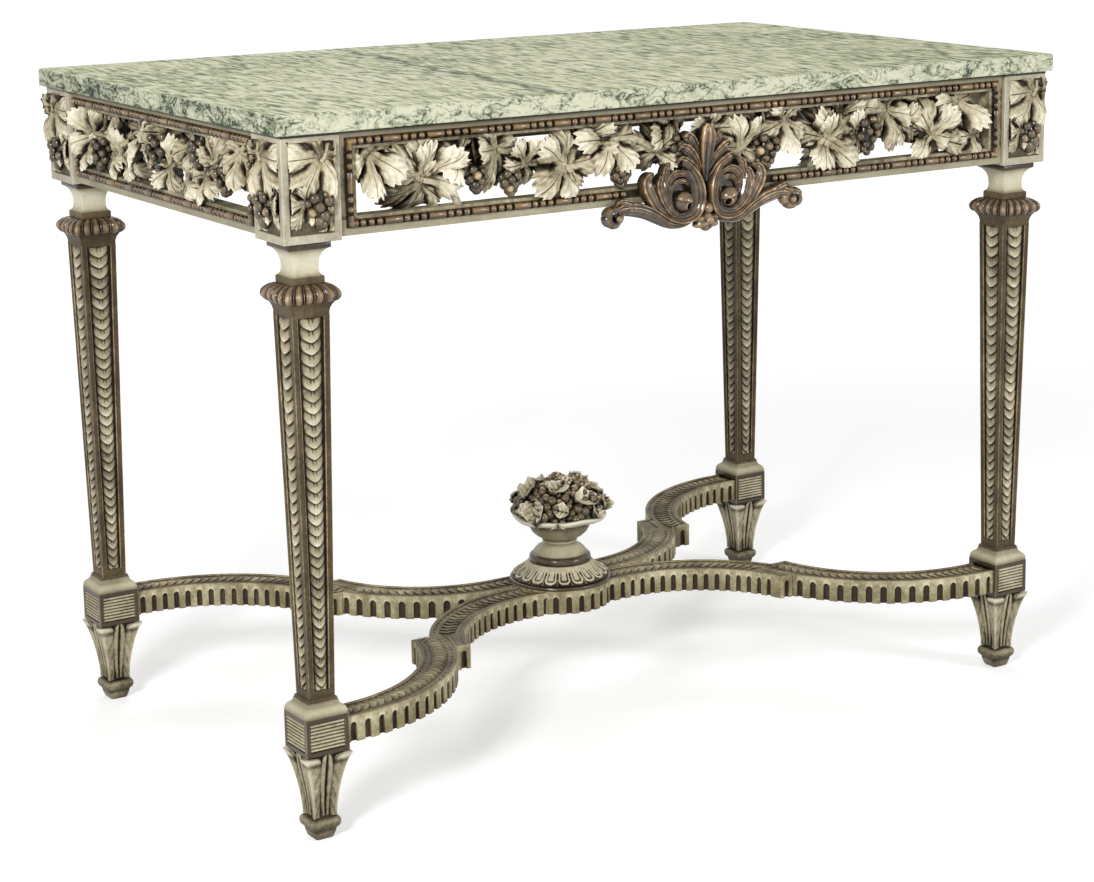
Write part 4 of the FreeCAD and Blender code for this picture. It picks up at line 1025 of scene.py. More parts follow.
def finger(length, width, thick, curl):
    """Tongue along the first axis with two grooves, a ridge, a pale rim and a tip rolled forward."""
    share = np.linspace(0, 1, 20)[:, None]
    across = np.linspace(-1, 1, 15)[None]
    half = width / 2 * (0.22 + 0.78 * np.sin(np.pi * 0.56 * share ** 1.2)) * np.sqrt(1 - share ** 7)
    section = np.sqrt(np.clip(1 - across ** 4, 0, 1))
    groove = bell(np.abs(across) - 0.34, 0.14) * np.sin(np.pi * (0.05 + 0.8 * share)) ** 0.7
    rise = curl * np.sin(np.pi * 0.5 * share) ** 2 - 0.9 * curl * step_up(share, 0.75, 0.25) ** 2
    front = thick * (section * (0.75 + 0.25 * share) - 0.26 * groove) + rise
    top = grid_of(share * length, half * across, front)
    bottom = grid_of(share * length, half * across, rise - 0.8 * thick)[:, ::-1]
    tone = 0.38 + 0.4 * bell(np.abs(across) - 0.84, 0.08) - 0.3 * groove
    tone = tone + 0.1 * bell(across, 0.2) + 0.2 * share ** 4
    tone = np.clip(tone - 0.35 * (1 - share) ** 2 - 0.4 * bell(np.abs(across) - 1, 0.07), 0.02, 1)
    return np.concatenate([top, bottom[:, 1:-1]], 1), np.concatenate([tone, np.full((20, 13), 0.05)], 1)


knob_radius, knob_hole, hood_lift = 12.6, 3.4, 2.2


def knob(eye, hole):
    """Eye of the scroll: a ball with a drilled hole off its middle and a hood over its upper half, with a
    painted shadow under the hood's edge and a painted highlight on the hood.
    """
    turn = full_turn(40)
    hole_x, hole_y = hole
    toward = hole_x * np.cos(turn) + hole_y * np.sin(turn)
    edge = -toward + np.sqrt(toward ** 2 + knob_radius ** 2 - hole_x ** 2 - hole_y ** 2)
    share = np.concatenate([np.linspace(1, 0.06, 20), [0.0, -0.1]])[:, None]
    radius = knob_hole + (edge - knob_hole) * share
    x, y = hole_x + radius * np.cos(turn), hole_y + radius * np.sin(turn)
    dome = np.sqrt(np.clip(1 - (x ** 2 + y ** 2) / (knob_radius + 0.1) ** 2, 0, 1))
    above = y - 0.5 - 0.25 * x
    hood = np.clip(above / 1.2, 0, 1)
    drop = np.where(share < 0, 10.0, np.where(share == 0, 1.0, 0.0)) + 5.0 * (share == 1)
    # painted shade and light: a dark band just under the hood's edge stands for its shadow, a pale band
    # just over it is a painted highlight, and the ball's outer rim is darkened as shade
    tone = 0.14 + 0.16 * dome + 0.12 * hood - 0.4 * bell(above + 0.6, 1.0) + 0.4 * bell(share - 0.1, 0.08)
    tone = tone + 0.3 * bell(above - 1.6, 0.7)
    tone = np.where(share <= 0, 0.0, tone - 0.4 * (share > 0.95))
    out = 8.0 + 14.0 * dome + hood_lift * hood - drop
    return grid_of(x, y, out) + (*eye, 0.0), np.clip(tone, 0, 1)


END_ROLL = np.array([  # radius and distance out
    (6.0, -2.0), (12.5, 0.0), (15.0, 4.0), (15.6, 8.0), (14.6, 12.0), (11.0, 15.0), (6.6, 16.0),
    (5.6, 13.0),
])
ROLL_TONE = np.array([0.06, 0.16, 0.24, 0.28, 0.32, 0.5, 0.2, 0.08])


def end_roll(middle):
    """Rolled leaf at the end of an arm: a drum of rounded ridges that points out, hollow at its front."""
    turn = full_turn(63)
    ridge = np.abs(np.cos(2.5 * (turn + 0.5)))
    radius = END_ROLL[:, :1] * (0.8 + 0.14 * np.sqrt(ridge))
    x, y = 1.04 * radius * np.cos(turn), 0.94 * radius * np.sin(turn)
    out = END_ROLL[:, 1:] * np.ones_like(x) + 0.12 * x
    tone = ROLL_TONE[:, None] - 0.3 * (1 - ridge) ** 3
    return grid_of(x + middle[0], y + middle[1], out), np.clip(tone, 0, 1)


print("an end roll is a grid of", end_roll((0, 0))[1].shape)

# %% build the scroll once and hang it front and back
SCROLL_EYE, EYE_HOLE = (32.0, 667.0), (-4.5, -5.0)  # the hole's place is measured from the eye
SCROLL_LOBES = [  # thickness, side, section, and the raised edge as rows of across, up, out and width
    (5.0, 1, LOBE_SECTION, [
        (28, 646, 7, 4), (48, 648, 8, 10), (66, 657, 9, 15), (78, 672, 9, 19), (84, 684, 9, 20),
        (84, 694, 8, 18), (78, 701, 8, 12), (69, 702, 7, 4)]),
    (5.0, 1, LOBE_SECTION, [
        (28, 648, 8, 4), (46, 652, 10, 9), (58, 663, 11, 12), (65, 677, 11, 14), (67, 688, 10, 14),
        (63, 697, 9, 11), (55, 699, 9, 4)]),
    (4.6, 1, LOBE_SECTION, [
        (46, 668, 7, 4), (56, 686, 8, 8), (58, 699, 8, 12), (55, 708, 8, 11), (47, 712, 7, 4)]),
    (4.6, 1, LOBE_SECTION, [
        (34, 652, 8, 4), (46, 658, 8, 7), (53, 671, 8, 8), (55, 684, 8, 9), (51, 695, 8, 10),
        (41, 702, 8, 10), (29, 701, 9, 8), (21, 693, 9, 4)]),
    (4.4, 1, LOBE_SECTION, [
        (38, 653, 8, 3), (46, 661, 8, 4), (49, 672, 8, 5), (47, 684, 8, 6), (38, 692, 8, 7),
        (26, 691, 9, 6), (18, 683, 9, 4)]),
    (6.0, -1, LOBE_SECTION, [
        (16, 646, 9, 4), (31, 642.5, 10, 6), (47, 645.5, 10, 9), (60, 654, 10, 12), (75, 663, 10, 14),
        (90, 668.5, 9, 15), (106, 670.5, 8, 14), (119, 668, 8, 12), (128, 661, 8, 8)]),
    (6.0, 1, RIM_SECTION, [
        (36, 713, 8, 3), (27, 711.5, 9, 9), (17, 704, 11, 13), (9, 692, 13, 15), (5, 676, 14, 16),
        (7, 659, 14, 15), (16, 647, 14, 13), (31, 643, 13, 11), (47, 646, 12, 9), (60, 655, 10, 6),
        (70, 663, 8, 2)]),
    (4.0, -1, LOBE_SECTION, [
        (88, 666, 9, 4), (100, 672, 11, 8), (112, 676, 11, 9), (119, 674, 10, 6), (121, 669, 9, 3)]),
    (4.6, -1, LOBE_SECTION, [
        (2, 706, 5, 5), (7, 727, 7, 11), (15, 740, 9, 14), (23, 744, 8, 12), (28, 739, 7, 3)]),
    (4.8, -1, LOBE_SECTION, [
        (3, 698, 7, 5), (11, 717, 9, 11), (22, 729, 11, 14), (32, 732, 10, 11), (36, 725, 8, 3)]),
    (5.0, -1, LOBE_SECTION, [
        (4, 690, 8, 4), (14, 706, 11, 10), (27, 716, 13, 12), (36, 718, 12, 9), (39, 711, 10, 3)]),
]
SCROLL_GROUND = [((38, 672), (38, 26)), ((42, 684), (30, 22))]  # dark plates: middle and half size
BUD_HOLES = [(-7, 644), (7, 644), (0, 637)]
scroll_shapes = []
for flip in ((1, 1, 1), (-1, 1, 1)):
    halves = [(*lobe(points, thick, side, section), True) for thick, side, section, points in SCROLL_LOBES]
    halves.append((*knob(SCROLL_EYE, EYE_HOLE), True))
    for (x, z), (wide, high) in SCROLL_GROUND:
        halves.append((ball(7, 24) * (wide, high, 4.0) + (x, z, 3.0), 0.0, False))
    halves.append((*end_roll((125, 657)), True))
    halves.append((ball(9, 14) * (4.4, 4.4, 4) + (122, 656, 17), 0.2 + 0.4 * ball(9, 14)[..., 2], False))
    scroll_shapes += [(grid * flip, tone, caps) for grid, tone, caps in halves]
tongue, tongue_tone = finger(66, 23, 7.0, 6.0)
bud, knop = ball(13, 48), ball(9, 14)
petal = 1 + 0.12 * np.cos(6 * np.arctan2(bud[..., 0], -bud[..., 1])) * (1 - bud[..., 2] ** 2)
bud_tone = 0.3 + 1.8 * (petal - 1) + 0.26 * bud[..., 2]
scroll_shapes += [
    (tongue @ rotation(90, 3, 0).T + (0, 688, 9), tongue_tone, True),
    (ball(9, 24) * (27, 36, 5.0) + (0, 712, 2.0), 0.0, False),
    (bud * petal[..., None] * (17, 11, 11) + (0, 642, 11), bud_tone, False),
    # painted shade: small dark spots on the bud stand for the shade in its drilled holes, which are not cut
    *[(ball(7, 10) * (2.0, 2.4, 1.6) + (x, z, 21.0), 0.0, False) for x, z in BUD_HOLES],
    (knop * (6, 6.5, 7) + (0, 657, 16), 0.28 + 0.35 * knop[..., 2], False),
]
for name in ("front", "back"):
    scroll = Carving()
    for grid, tone, caps in scroll_shapes:
        scroll.add(on_side(grid, name), np.clip(tone, 0, 1), caps=caps)
    scroll.make(f"{name}_scroll_carving", ["bronze"], "bronzed_paint", [f"{name}_cartouche"], glaze_and_shade=0.3)

# %% [markdown]
# ## Leaf and grapes on the corner blocks
# Both outer faces of a corner block carry a large leaf that hangs from the upper corner, two small
# leaves and a bunch of grapes. The leaf and bunch made for the frieze serve again, flatter. The carving
# of a short side is flipped, so that the two faces of a block mirror each other at its edge.

# %% carve the blocks
# across, up from the block's middle, direction, length, tip lift, roll, depth of the stalk
BLOCK_LEAVES = [
    (13, 31, -124, 50, 0, 4, 4.0), (-5, -16, -122, 30, 4, -8, 3.0), (20, -34, -70, 20, 2, 4, 2.0),
]
BLOCK_BUNCH = (9, -3, 44)
block_middle = (block_low[2] + block_high[2]) / 2 + 1.0
block_half = (block_high[0] - block_low[0]) / 2
block_setback, block_recess = 4.0, 3.0  # block face before the rail's face, and floor of its sunk panel
block_relief = 0.85  # leaves on the blocks are flatter than those of the frieze
block_limit = (25.3, 48.5)  # half size of the sunk panel
BLOCK_FACES = {corner: corner.split("_") for corner in CORNERS}  # the two outer faces of each block
BLOCK_LEAF_SEED, BLOCK_BUNCH_SEED = 300, 320


def block_face_middle(corner, name):
    """How far along a side, in its own across direction, the middle of the block's face lies."""
    sign_x, sign_y = CORNERS[corner]
    sign = {"front": sign_x, "back": -sign_x, "right": sign_y, "left": -sign_y}[name]
    return sign * (HALF[name] + block_half)


def in_panel(grid):
    """Keeps a grid of across, up and out points inside the sunk panel and close to its floor."""
    return np.maximum(within(grid, *block_limit), (-np.inf, -np.inf, -1.0))


for corner, faces in BLOCK_FACES.items():
    carving = Carving()
    floor_out = block_setback - block_recess
    for name in faces:
        flip = (1 if name in ("front", "back") else -1, 1, 1)
        move = (block_face_middle(corner, name), block_middle, floor_out)
        for place, (across, up, direction, length, tip_lift, roll, out) in enumerate(BLOCK_LEAVES):
            grid, tone = vine_leaf(length, BLOCK_LEAF_SEED + place, 0.1, 0.25, 0.5)
            grid = grid @ rotation(direction, tip_lift, roll).T * (1, 1, block_relief) + (across, up, out)
            carving.add(on_side(in_panel(grid) * flip + move, name), tone, caps=False)
        across, up, length = BLOCK_BUNCH
        balls, tone = grape_bunch(length, 5.6, BLOCK_BUNCH_SEED, 18)
        bunch = in_panel(balls * (1, 1, 0.7) + (across, up, 3.5))
        carving.add(on_side(bunch * flip + move, name), tone, 1, caps=False)
        stalk = smooth_line([(22, 44, 0), (18, 34, 3), (11, 26, 4)], 7)
        carving.add(on_side(tube(stalk, 2.4) * flip + move, name), 0.6)
    carving.make(f"corner_leaf_{corner}", ["carved_cream", "grape_bronze"], "vine_paint",
                 [f"corner_carving_{corner}"])

# %% [markdown]
# ## Legs
# A leg is turned on a square: a dark abacus, a cream hollow neck, a fat collar of gadroons and a shaft
# that tapers down to a fillet. Every level is one row of a square ring. The shaft's rings have extra
# points at the edges of its sunk panels, so the same grid holds the stiles, the dark grooves and the
# panel floors. A column of husks fills each panel. It is one strip whose height rises along every husk
# and steps down at its end.

# %% panelled posts
leg_middle = np.array([494.5, 282.0])
shaft_top, shaft_bottom = 587.0, 164.0
shaft_half_top, shaft_half_bottom = 22.1, 15.4
stile, sunk, panel_margin, top_margin = 6.5, 2.5, 9.0, 2.5
bevel, arris = 1.0, 1.2  # pale worn edges of a stile: beside its panel and at the corner of the post
groove = 0.7  # steep wall between a stile and the floor of its panel


def post_ring(half, border, depths):
    """Square ring with a sunk panel on each side: nine points for each quarter, starting on the -Y face."""
    inner = half - border
    x = np.array([-half, -half + arris, -inner - bevel, -inner, -inner + groove,
                  inner - groove, inner, inner + bevel, half - arris])
    quarters = []
    for turn, depth in enumerate(depths):
        y = -np.full(9, half)
        y[[3, 6]] += 0.4 * (depth > 0)
        y[[4, 5]] += depth
        quarters.append(grid_of(*[(x, y), (-y, x), (-x, -y), (y, -x)][turn]))
    return np.concatenate(quarters)


def panelled_post(heights_ends, halves_ends, border, depths, margins, steps, pattern):
    """Tapering square post with a sunk panel where a face has a depth; tones run along its ring."""
    (top, bottom), (half_top, half_bottom) = heights_ends, halves_ends
    panel_top, panel_bottom = top - margins[0], bottom + margins[1]
    between = np.linspace(panel_top - groove, panel_bottom + groove, steps)
    heights = np.concatenate([[top, panel_top], between, [panel_bottom, bottom]])
    sunken = np.concatenate([[0, 0], np.ones(steps), [0, 0]])
    halves = np.interp(heights, [bottom, top], [half_bottom, half_top])
    depths = np.array(depths)
    rings = np.stack([post_ring(half, border, depths * deep) for half, deep in zip(halves, sunken)])
    grid = on_ring(1.0, rings, heights[:, None])
    plain = np.array(pattern)
    plain[2:8] = plain[1]
    faces = [np.where(depth * sunken[:, None] > 0, pattern, plain) for depth in depths]
    return grid, np.concatenate(faces, 1)


print("a shaft is", shaft_top - shaft_bottom, "mm long")

# %% scales and husks
SCALE_ACROSS = np.array([-1.0, -0.9, -0.72, -0.52, -0.34, -0.26, -0.19, -0.12, 0.0, 0.12, 0.19, 0.26, 0.34,
                         0.52, 0.72, 0.9, 1.0])
SCALE_STEP = np.array([0.0, 0.08, 0.26, 0.5, 0.76, 0.93, 1.0])
SCALE_LIFT = np.array([0.05, 0.14, 0.5, 0.78, 0.96, 1.0, 0.92])
SCALE_SHADE = np.array([0.0, 0.3, 0.6, 0.72, 0.86, 1.0, 0.75])


def scale_strip(pitches, tip, thick, dots, seed):
    """Column of overlapping scales: share across, distance along, height, and tone.

    Each scale starts under the one before, rises towards its tip and ends in a step. Its edge is a V or
    a U: the middle runs ahead of the sides by the tip's length. Two nicks are cut beside each tip, and
    each scale is its own shade."""
    rng = np.random.default_rng(seed)
    count = len(pitches)
    starts = np.concatenate([[0], np.cumsum(pitches)[:-1]])
    ahead = tip * (1 - np.abs(SCALE_ACROSS) ** 1.5)
    along = (starts[:, None] + np.asarray(pitches)[:, None] * SCALE_STEP).reshape(-1, 1) + ahead
    crown = 0.12 + 0.88 * np.sqrt(1 - SCALE_ACROSS ** 2)
    height = np.tile(SCALE_LIFT, count)[:, None] * crown * thick
    shade = np.repeat(rng.uniform(0.78, 1.1, count), len(SCALE_STEP))[:, None]
    tone = 0.84 * np.tile(SCALE_SHADE, count)[:, None] * (0.3 + 0.7 * crown) * shade
    nicked = np.tile(SCALE_STEP < 0.3, count)[:, None] & (np.abs(np.abs(SCALE_ACROSS) - dots) < 0.02)
    bulge = np.tile(0.86 + 0.14 * np.sin(np.pi * SCALE_STEP), count)[:, None]
    return SCALE_ACROSS * bulge, along, np.where(nicked, -0.3 * thick, height), np.where(nicked, 0, tone)


def close_strip(across, along, height, tone, back):
    """Closes a strip to a tube by two columns behind it: its three measures stacked, and its tone."""
    behind = [np.concatenate([values, values[:, -1:], values[:, :1]], 1)
              for values in (across, along, height, tone)]
    behind[2][:, -2:] = back
    behind[3][:, -2:] = 0.0
    return np.stack(behind[:3], -1), behind[3]


husk_count, husk_tip = 35, 5.6
husk_pitches = np.linspace(14.8, 12.0, husk_count)
husk_pitches *= (shaft_top - shaft_bottom - panel_margin - top_margin + husk_tip) / husk_pitches.sum()
husk_shares, husk_tone = close_strip(*scale_strip(husk_pitches, husk_tip, 3.2, 0.19, 7), -1.0)


def husk_column():
    """Husks in the panel of a shaft's -Y face: they narrow with it and are cut off at its ends."""
    across, along, height = np.moveaxis(husk_shares, -1, 0)
    panel_top, panel_bottom = shaft_top - top_margin - 0.8, shaft_bottom + panel_margin + 0.8
    z = np.clip(panel_top + husk_tip - along, panel_bottom, panel_top)
    half = np.interp(z, [shaft_bottom, shaft_top], [shaft_half_bottom, shaft_half_top])
    return grid_of(0.84 * across * (half - stile - 1.0), -(half - sunk + height), z)


print(husk_count, "husks on each face of a shaft")

# %% [markdown]
# A corner block is such a post as well, with a panel on its two outer faces only. A dark line runs
# round its top, where the slab's shadow and the dust of years meet, and a nail hole shows on the front
# of each front block.

# %% corner blocks
BLOCK_TONE = np.array([0.92, 0.66, 0.62, 0.36, 0.08, 0.08, 0.36, 0.62, 0.66])
block_border = 8.2
nail_radius, nail_in = 1.3, (26.0, 8.0)  # the nail's place is measured from the face's middle and top
for corner, faces in BLOCK_FACES.items():
    depths = [0.0] * 4
    for name in faces:
        depths[SIDES[name] // 90] = block_recess
    middle = (*((block_low + block_high)[:2] / 2 * CORNERS[corner]), 0.0)
    ends, halves = (block_high[2], block_low[2]), (block_half, block_half)
    grid, tone = panelled_post(ends, halves, block_border, depths, (block_border + 0.3,) * 2, 4, BLOCK_TONE)
    block = Carving()
    block.add(grid + middle, tone, 0)
    shadow = np.array([(0.1, -3.4), (0.2, -3.0), (0.2, 0.0)]) + (block_half, block_high[2])
    block.add(square_turned(shadow, 0.01) + middle, 0.0, 1)
    if "front" in faces:
        across = CORNERS[corner][0] * (block_low[0] + block_half + nail_in[0])
        nail_place = (across, -block_high[1], block_high[2] - nail_in[1])
        block.add(ball() * (nail_radius, 0.5, nail_radius) + nail_place, 0.0, 1, caps=False)
    block.make(f"corner_block_painted_{corner}", ["block_cream", "dark_glaze"], "cream_paint",
               [f"corner_block_{corner}"], glaze_and_shade=0.2)

# %% [markdown]
# The collar's gadroons are one grid too. Going round the square, each lobe is a half round between two
# dark grooves with a thin raised fillet in the gap. A lobe sits on each corner and four stand on each
# face, which makes 20.

# %% gadrooned collar
collar_lobes, collar_crest = 20, 609.0  # number of lobes, and the height where they carry a painted highlight
LOBE_STEPS = np.array([0.0, 0.03, 0.055, 0.075, 0.12, 0.22, 0.36, 0.5, 0.64, 0.78, 0.88, 0.925, 0.945,
                       0.97])
LOBE_LIFT = np.array([0.55, 0.5, 0.0, 0.0, 0.42, 0.74, 0.95, 1.0, 0.95, 0.74, 0.42, 0.0, 0.0, 0.5])
LOBE_TONE = np.array([0.8, 0.6, 0.0, 0.0, 0.36, 0.58, 0.72, 0.8, 0.72, 0.58, 0.36, 0.0, 0.0, 0.6])
COLLAR_PROFILE = np.array([  # half width, height, how deep the lobes are cut
    (26.0, 599.8, 0.4), (29.6, 600.0, 2.0), (32.6, 601.6, 3.6), (34.8, 604.4, 4.6), (35.5, 607.4, 5.0),
    (34.8, 610.8, 4.8), (32.4, 614.0, 4.2), (28.6, 616.8, 3.2), (24.0, 618.6, 1.8), (19.8, 619.2, 0.4),
])


def gadrooned_collar():
    """Rows of the collar's profile by the steps of all lobes round a rounded square."""
    shares = ((np.arange(collar_lobes)[:, None] + LOBE_STEPS) / collar_lobes).ravel() % 1.0
    ring = square_ring(0.34, shares)
    lift = np.tile(LOBE_LIFT, collar_lobes)
    half = COLLAR_PROFILE[:, :1] - COLLAR_PROFILE[:, 2:] * (1 - lift)
    grid = on_ring(half, ring, COLLAR_PROFILE[:, 1:2])
    # painted highlight: the lobes are lighter in a band round the crest height
    lightness = 0.22 * bell(COLLAR_PROFILE[:, 1:2] - collar_crest, 3.6)
    tone = np.tile(LOBE_TONE, collar_lobes)
    return grid, tone * (0.9 + lightness)


print("collar grid", gadrooned_collar()[0].shape)

# %% build one leg and set it at four corners
ABACUS = [(24.4, 657.0), (25.5, 658.0), (25.5, 664.0), (24.8, 665.0)]
NECK = [(18.6, 627.0), (16.4, 629.0), (15.3, 632.0), (15.0, 636.0), (15.2, 641.0), (16.1, 646.5),
        (17.9, 651.0), (20.4, 654.6), (23.5, 657.0)]
NECK_TONE = np.array([0.2, 0.45, 0.62, 0.74, 0.8, 0.82, 0.74, 0.55, 0.25])[:, None]
NECK_FILLET = [(18.9, 619.0), (19.65, 619.8), (19.65, 626.2), (18.9, 627.0)]
CAVETTO = [(22.1, 587.0), (22.4, 590.0), (23.2, 593.5), (24.6, 596.6), (26.2, 598.8), (27.1, 600.4)]
STILE_TONE = np.array([0.85, 0.5, 0.46, 0.95, 0.0, 0.0, 0.95, 0.46, 0.5])
SHAFT_FILLET = [(17.0, 161.0), (17.6, 161.6), (17.6, 163.4), (15.4, 164.0)]


def at_leg(grid, corner):
    """Moves a grid from the upright axis to a leg's axis."""
    return grid + (*(leg_middle * CORNERS[corner]), 0.0)


shaft_ends, shaft_halves = (shaft_top, shaft_bottom), (shaft_half_top, shaft_half_bottom)
shaft_margins = (top_margin, panel_margin)
shaft = panelled_post(shaft_ends, shaft_halves, stile, [sunk] * 4, shaft_margins, 10, STILE_TONE)
LEG_FINISHES = ["husk_cream", "brown_glaze", "dark_glaze", "neck_cream"]
leg_grids = [  # grid, tone and place in the list of finishes
    (square_turned(ABACUS, 0.08), 0.45, 2),
    (square_turned(NECK, 0.08), NECK_TONE, 3),
    (square_turned(NECK_FILLET, 0.1), 0.62, 1),
    (*gadrooned_collar(), 2),
    (square_turned(CAVETTO, 0.06), 0.5, 1),
    (*shaft, 1),
    (quarter_turns(husk_column()), husk_tone, 0),
    (square_turned(SHAFT_FILLET, 0.06), 0.6, 1),
]
for corner in CORNERS:
    leg = Carving()
    for grid, tone, finish in leg_grids:
        leg.add(at_leg(grid, corner), tone, finish)
    leg.make(f"leg_carved_{corner}", LEG_FINISHES, "cream_paint", [f"leg_{corner}"], glaze_and_shade=0.25)

# %% [markdown]
# ## Plinths and feet
# The plinth between leg and foot has reeded panels, except on the face where the stretcher enters. The
# foot swells up from a small bun and is wrapped in leaves: one on each corner, whose top flares out
# into a pale lip, and a pointed one with a groove on each face. A leaf here is a patch of the square
# ring, lifted by its ridge and veins.

# %% plinths
plinth_bottom, plinth_top, plinth_half = 103.0, 145.0, 26.0
OGEE = [(26.0, 145.0), (26.3, 147.2), (25.9, 150.0), (24.4, 152.8), (22.0, 154.8), (20.0, 156.2),
        (18.9, 158.2), (18.4, 161.0)]
OGEE_TONE = np.array([0.1, 0.3, 0.48, 0.6, 0.5, 0.32, 0.26, 0.1])[:, None]
PLINTH_TONE = np.array([0.8, 0.42, 0.42, 0.7, 0.0, 0.0, 0.7, 0.42, 0.42])
PLINTH_FINISHES = ["husk_cream", "dark_glaze", "neck_cream"]
plinth_border, plinth_margin, plinth_sunk = 5.0, 4.6, 2.4
reed_count, reed_half, reed_inset = 8, 20.2, 5.2


def reed_panel(half_wide, low, high, out):
    """Stack of half round reeds as one closed strip on a -Y face, and its tone."""
    share = np.linspace(0, reed_count, reed_count * 6 + 1)
    arch = np.abs(np.sin(np.pi * share))
    z = low + (high - low) * share / reed_count
    sides = np.array([-half_wide, half_wide, half_wide, -half_wide])
    fronts = np.array([1, 1, 0, 0])
    y = -(out + fronts * (0.2 + 2.2 * arch ** 0.7)[:, None]) + (1 - fronts) * 2.0
    return grid_of(sides, y, z[:, None]), (0.1 + 0.6 * arch ** 0.8)[:, None]


reed_ends = (plinth_bottom + reed_inset, plinth_top - reed_inset)
reeds, reed_tone = reed_panel(reed_half, *reed_ends, plinth_half - plinth_sunk)
plinth_ends, plinth_halves = (plinth_top, plinth_bottom), (plinth_half, plinth_half)
plinth_grid, plinth_tone = panelled_post(
    plinth_ends, plinth_halves, plinth_border, [plinth_sunk] * 4, (plinth_margin,) * 2, 3, PLINTH_TONE)
for corner, (sign_x, sign_y) in CORNERS.items():
    plinth = Carving()
    plinth.add(at_leg(plinth_grid, corner), plinth_tone, 1)
    plinth.add(at_leg(square_turned(OGEE, 0.1), corner), OGEE_TONE, 2)
    reeded = (0, 1, 2) if sign_x > 0 else (0, 2, 3)  # quarter turns of the faces without a stretcher arm
    plinth.add(at_leg(quarter_turns(reeds, reeded), corner), reed_tone, 0)
    plinth.make(f"plinth_carved_{corner}", PLINTH_FINISHES, "cream_paint", [f"plinth_{corner}"], glaze_and_shade=0.2)

# %% feet
FOOT_CORE = np.array([
    (11.6, 25.0), (11.2, 30.0), (11.8, 40.0), (13.2, 52.0), (15.2, 64.0), (17.6, 76.0), (20.0, 88.0),
    (21.6, 97.0), (22.4, 103.0),
])
BUN = [(12.5, 26.0), (16.4, 24.6), (18.3, 22.0), (18.5, 18.6), (17.6, 15.4), (15.4, 13.0), (14.4, 11.8)]
BUN_TONE = np.array([0.05, 0.36, 0.46, 0.34, 0.28, 0.12, 0.05])[:, None]
SOLE = [(9.4, 0.0), (11.2, 1.6), (13.4, 8.0), (14.2, 12.4)]
SOLE_TONE = np.array([0.2, 0.36, 0.4, 0.12])[:, None]
CORNER_LEAF = (0.086, 27.0, 101.0, 4.0, 2.6, 0)  # spread, low, high, flare, lift, and whether it is cut
FACE_LEAF = (0.066, 29.0, 103.0, 0.0, 2.4, 1)


def foot_leaf(middle, spread, low, high, flare, lift, cut):
    """Leaf that climbs the foot round a perimeter share, and its tone.

    A cut leaf has a groove up its middle. The other kind has a ridge there and veins that slant up from it.
    With a flare, the top leans out by the sixth power of the share up and ends in a thick pale lip."""
    share = np.concatenate([np.linspace(0, 0.84, 30), np.linspace(0.86, 1.0, 10)])[:, None]
    across = np.linspace(-1, 1, 19)[None]
    z = low + (high - low) * share - (2.0 * across ** 2 * share ** 6 if flare else 0.0)
    closing = 0.3 * share ** 12 if flare else share ** 5
    outline = (0.66 + 0.34 * np.sin(np.pi * (0.1 + 0.5 * share))) * np.sqrt(1 - closing)
    ring = square_ring(0.2, (middle + across * outline * spread) % 1.0)
    phase = 4.0 * share - 1.4 * np.abs(across) ** 0.9 + 0.3
    beside = step_up(np.abs(across), 0.16, 0.1)
    vein = bell(phase - np.round(phase), 0.12) * beside * (1 - share ** 8) * (1 - cut)
    ridge = bell(across, 0.16)
    lip = step_up(share, 0.9, 0.05) if flare else 0 * share
    relief = lift * (1 - 0.8 * across ** 4) + (1.0 - 3.8 * cut) * ridge - 0.5 * vein + flare * share ** 6
    relief = relief + 0.8 * lip * np.sqrt(np.clip(1 - ((share - 0.95) / 0.06) ** 2, 0, 1))
    core = np.interp(z, FOOT_CORE[:, 1], FOOT_CORE[:, 0])
    front = on_ring(core + relief, ring, z)
    inner = core + np.maximum(flare * share ** 6 - 2.6, -1.5)
    back = on_ring(inner, ring, z)
    tone = 0.6 - 0.22 * vein + (0.22 - 0.9 * cut) * ridge - 0.5 * np.abs(across) ** 8
    tone = tone - 0.2 * (1 - share) ** 2 - 0.3 * bell(share - 0.88, 0.04) * (flare > 0) + 0.3 * lip
    behind = (0.05 + 0.6 * lip) * np.ones((1, 17))
    return np.concatenate([front, back[:, -2:0:-1]], 1), np.clip(np.concatenate([tone, behind], 1), 0, 1)


foot_grids = [(square_turned(FOOT_CORE, 0.3), 0.1)]
for quarter in (0.0, 0.25, 0.5, 0.75):
    foot_grids += [foot_leaf(quarter + 0.125, *CORNER_LEAF), foot_leaf(quarter, *FACE_LEAF)]
foot_grids += [(square_turned(BUN, 0.3), BUN_TONE), (square_turned(SOLE, 0.25), SOLE_TONE)]
for corner in CORNERS:
    foot = Carving()
    for grid, tone in foot_grids:
        foot.add(at_leg(grid, corner), tone)
    foot.make(f"foot_carved_{corner}", ["husk_cream"], "cream_paint", [f"foot_{corner}"], glaze_and_shade=0.35)

# %% [markdown]
# ## Stretcher
# Four curved arms run from the plinths to a round hub. An arm is two bands on circular arcs that pass
# each other at a break, where both end square across the table. A band could be swept, but its walls
# are cut by round topped flutes that are open below. So its grid has stations along the arc, doubled at
# both sides of a flute: inside a flute the lower part of the wall steps back, up to the height of the
# arch at that station. Scales and small dots run along its sunk top, between two borders.

# %% arm bands
arm_half, arm_bottom, arm_top = 21.5, 108.5, 138.5
arm_offset, hub_radius, hub_lead = 23.5, 64.0, 11.0
hub_band_start = 42.0  # a hub band starts inside the drum
plinth_face, plinth_lead = 468.5, 10.0
break_x, break_y, break_jog, break_low, break_high = 254.0, 136.5, 18.4, 112.5, 160.5
leg_arc_start, hub_arc_start = plinth_face - plinth_lead, hub_radius + hub_lead


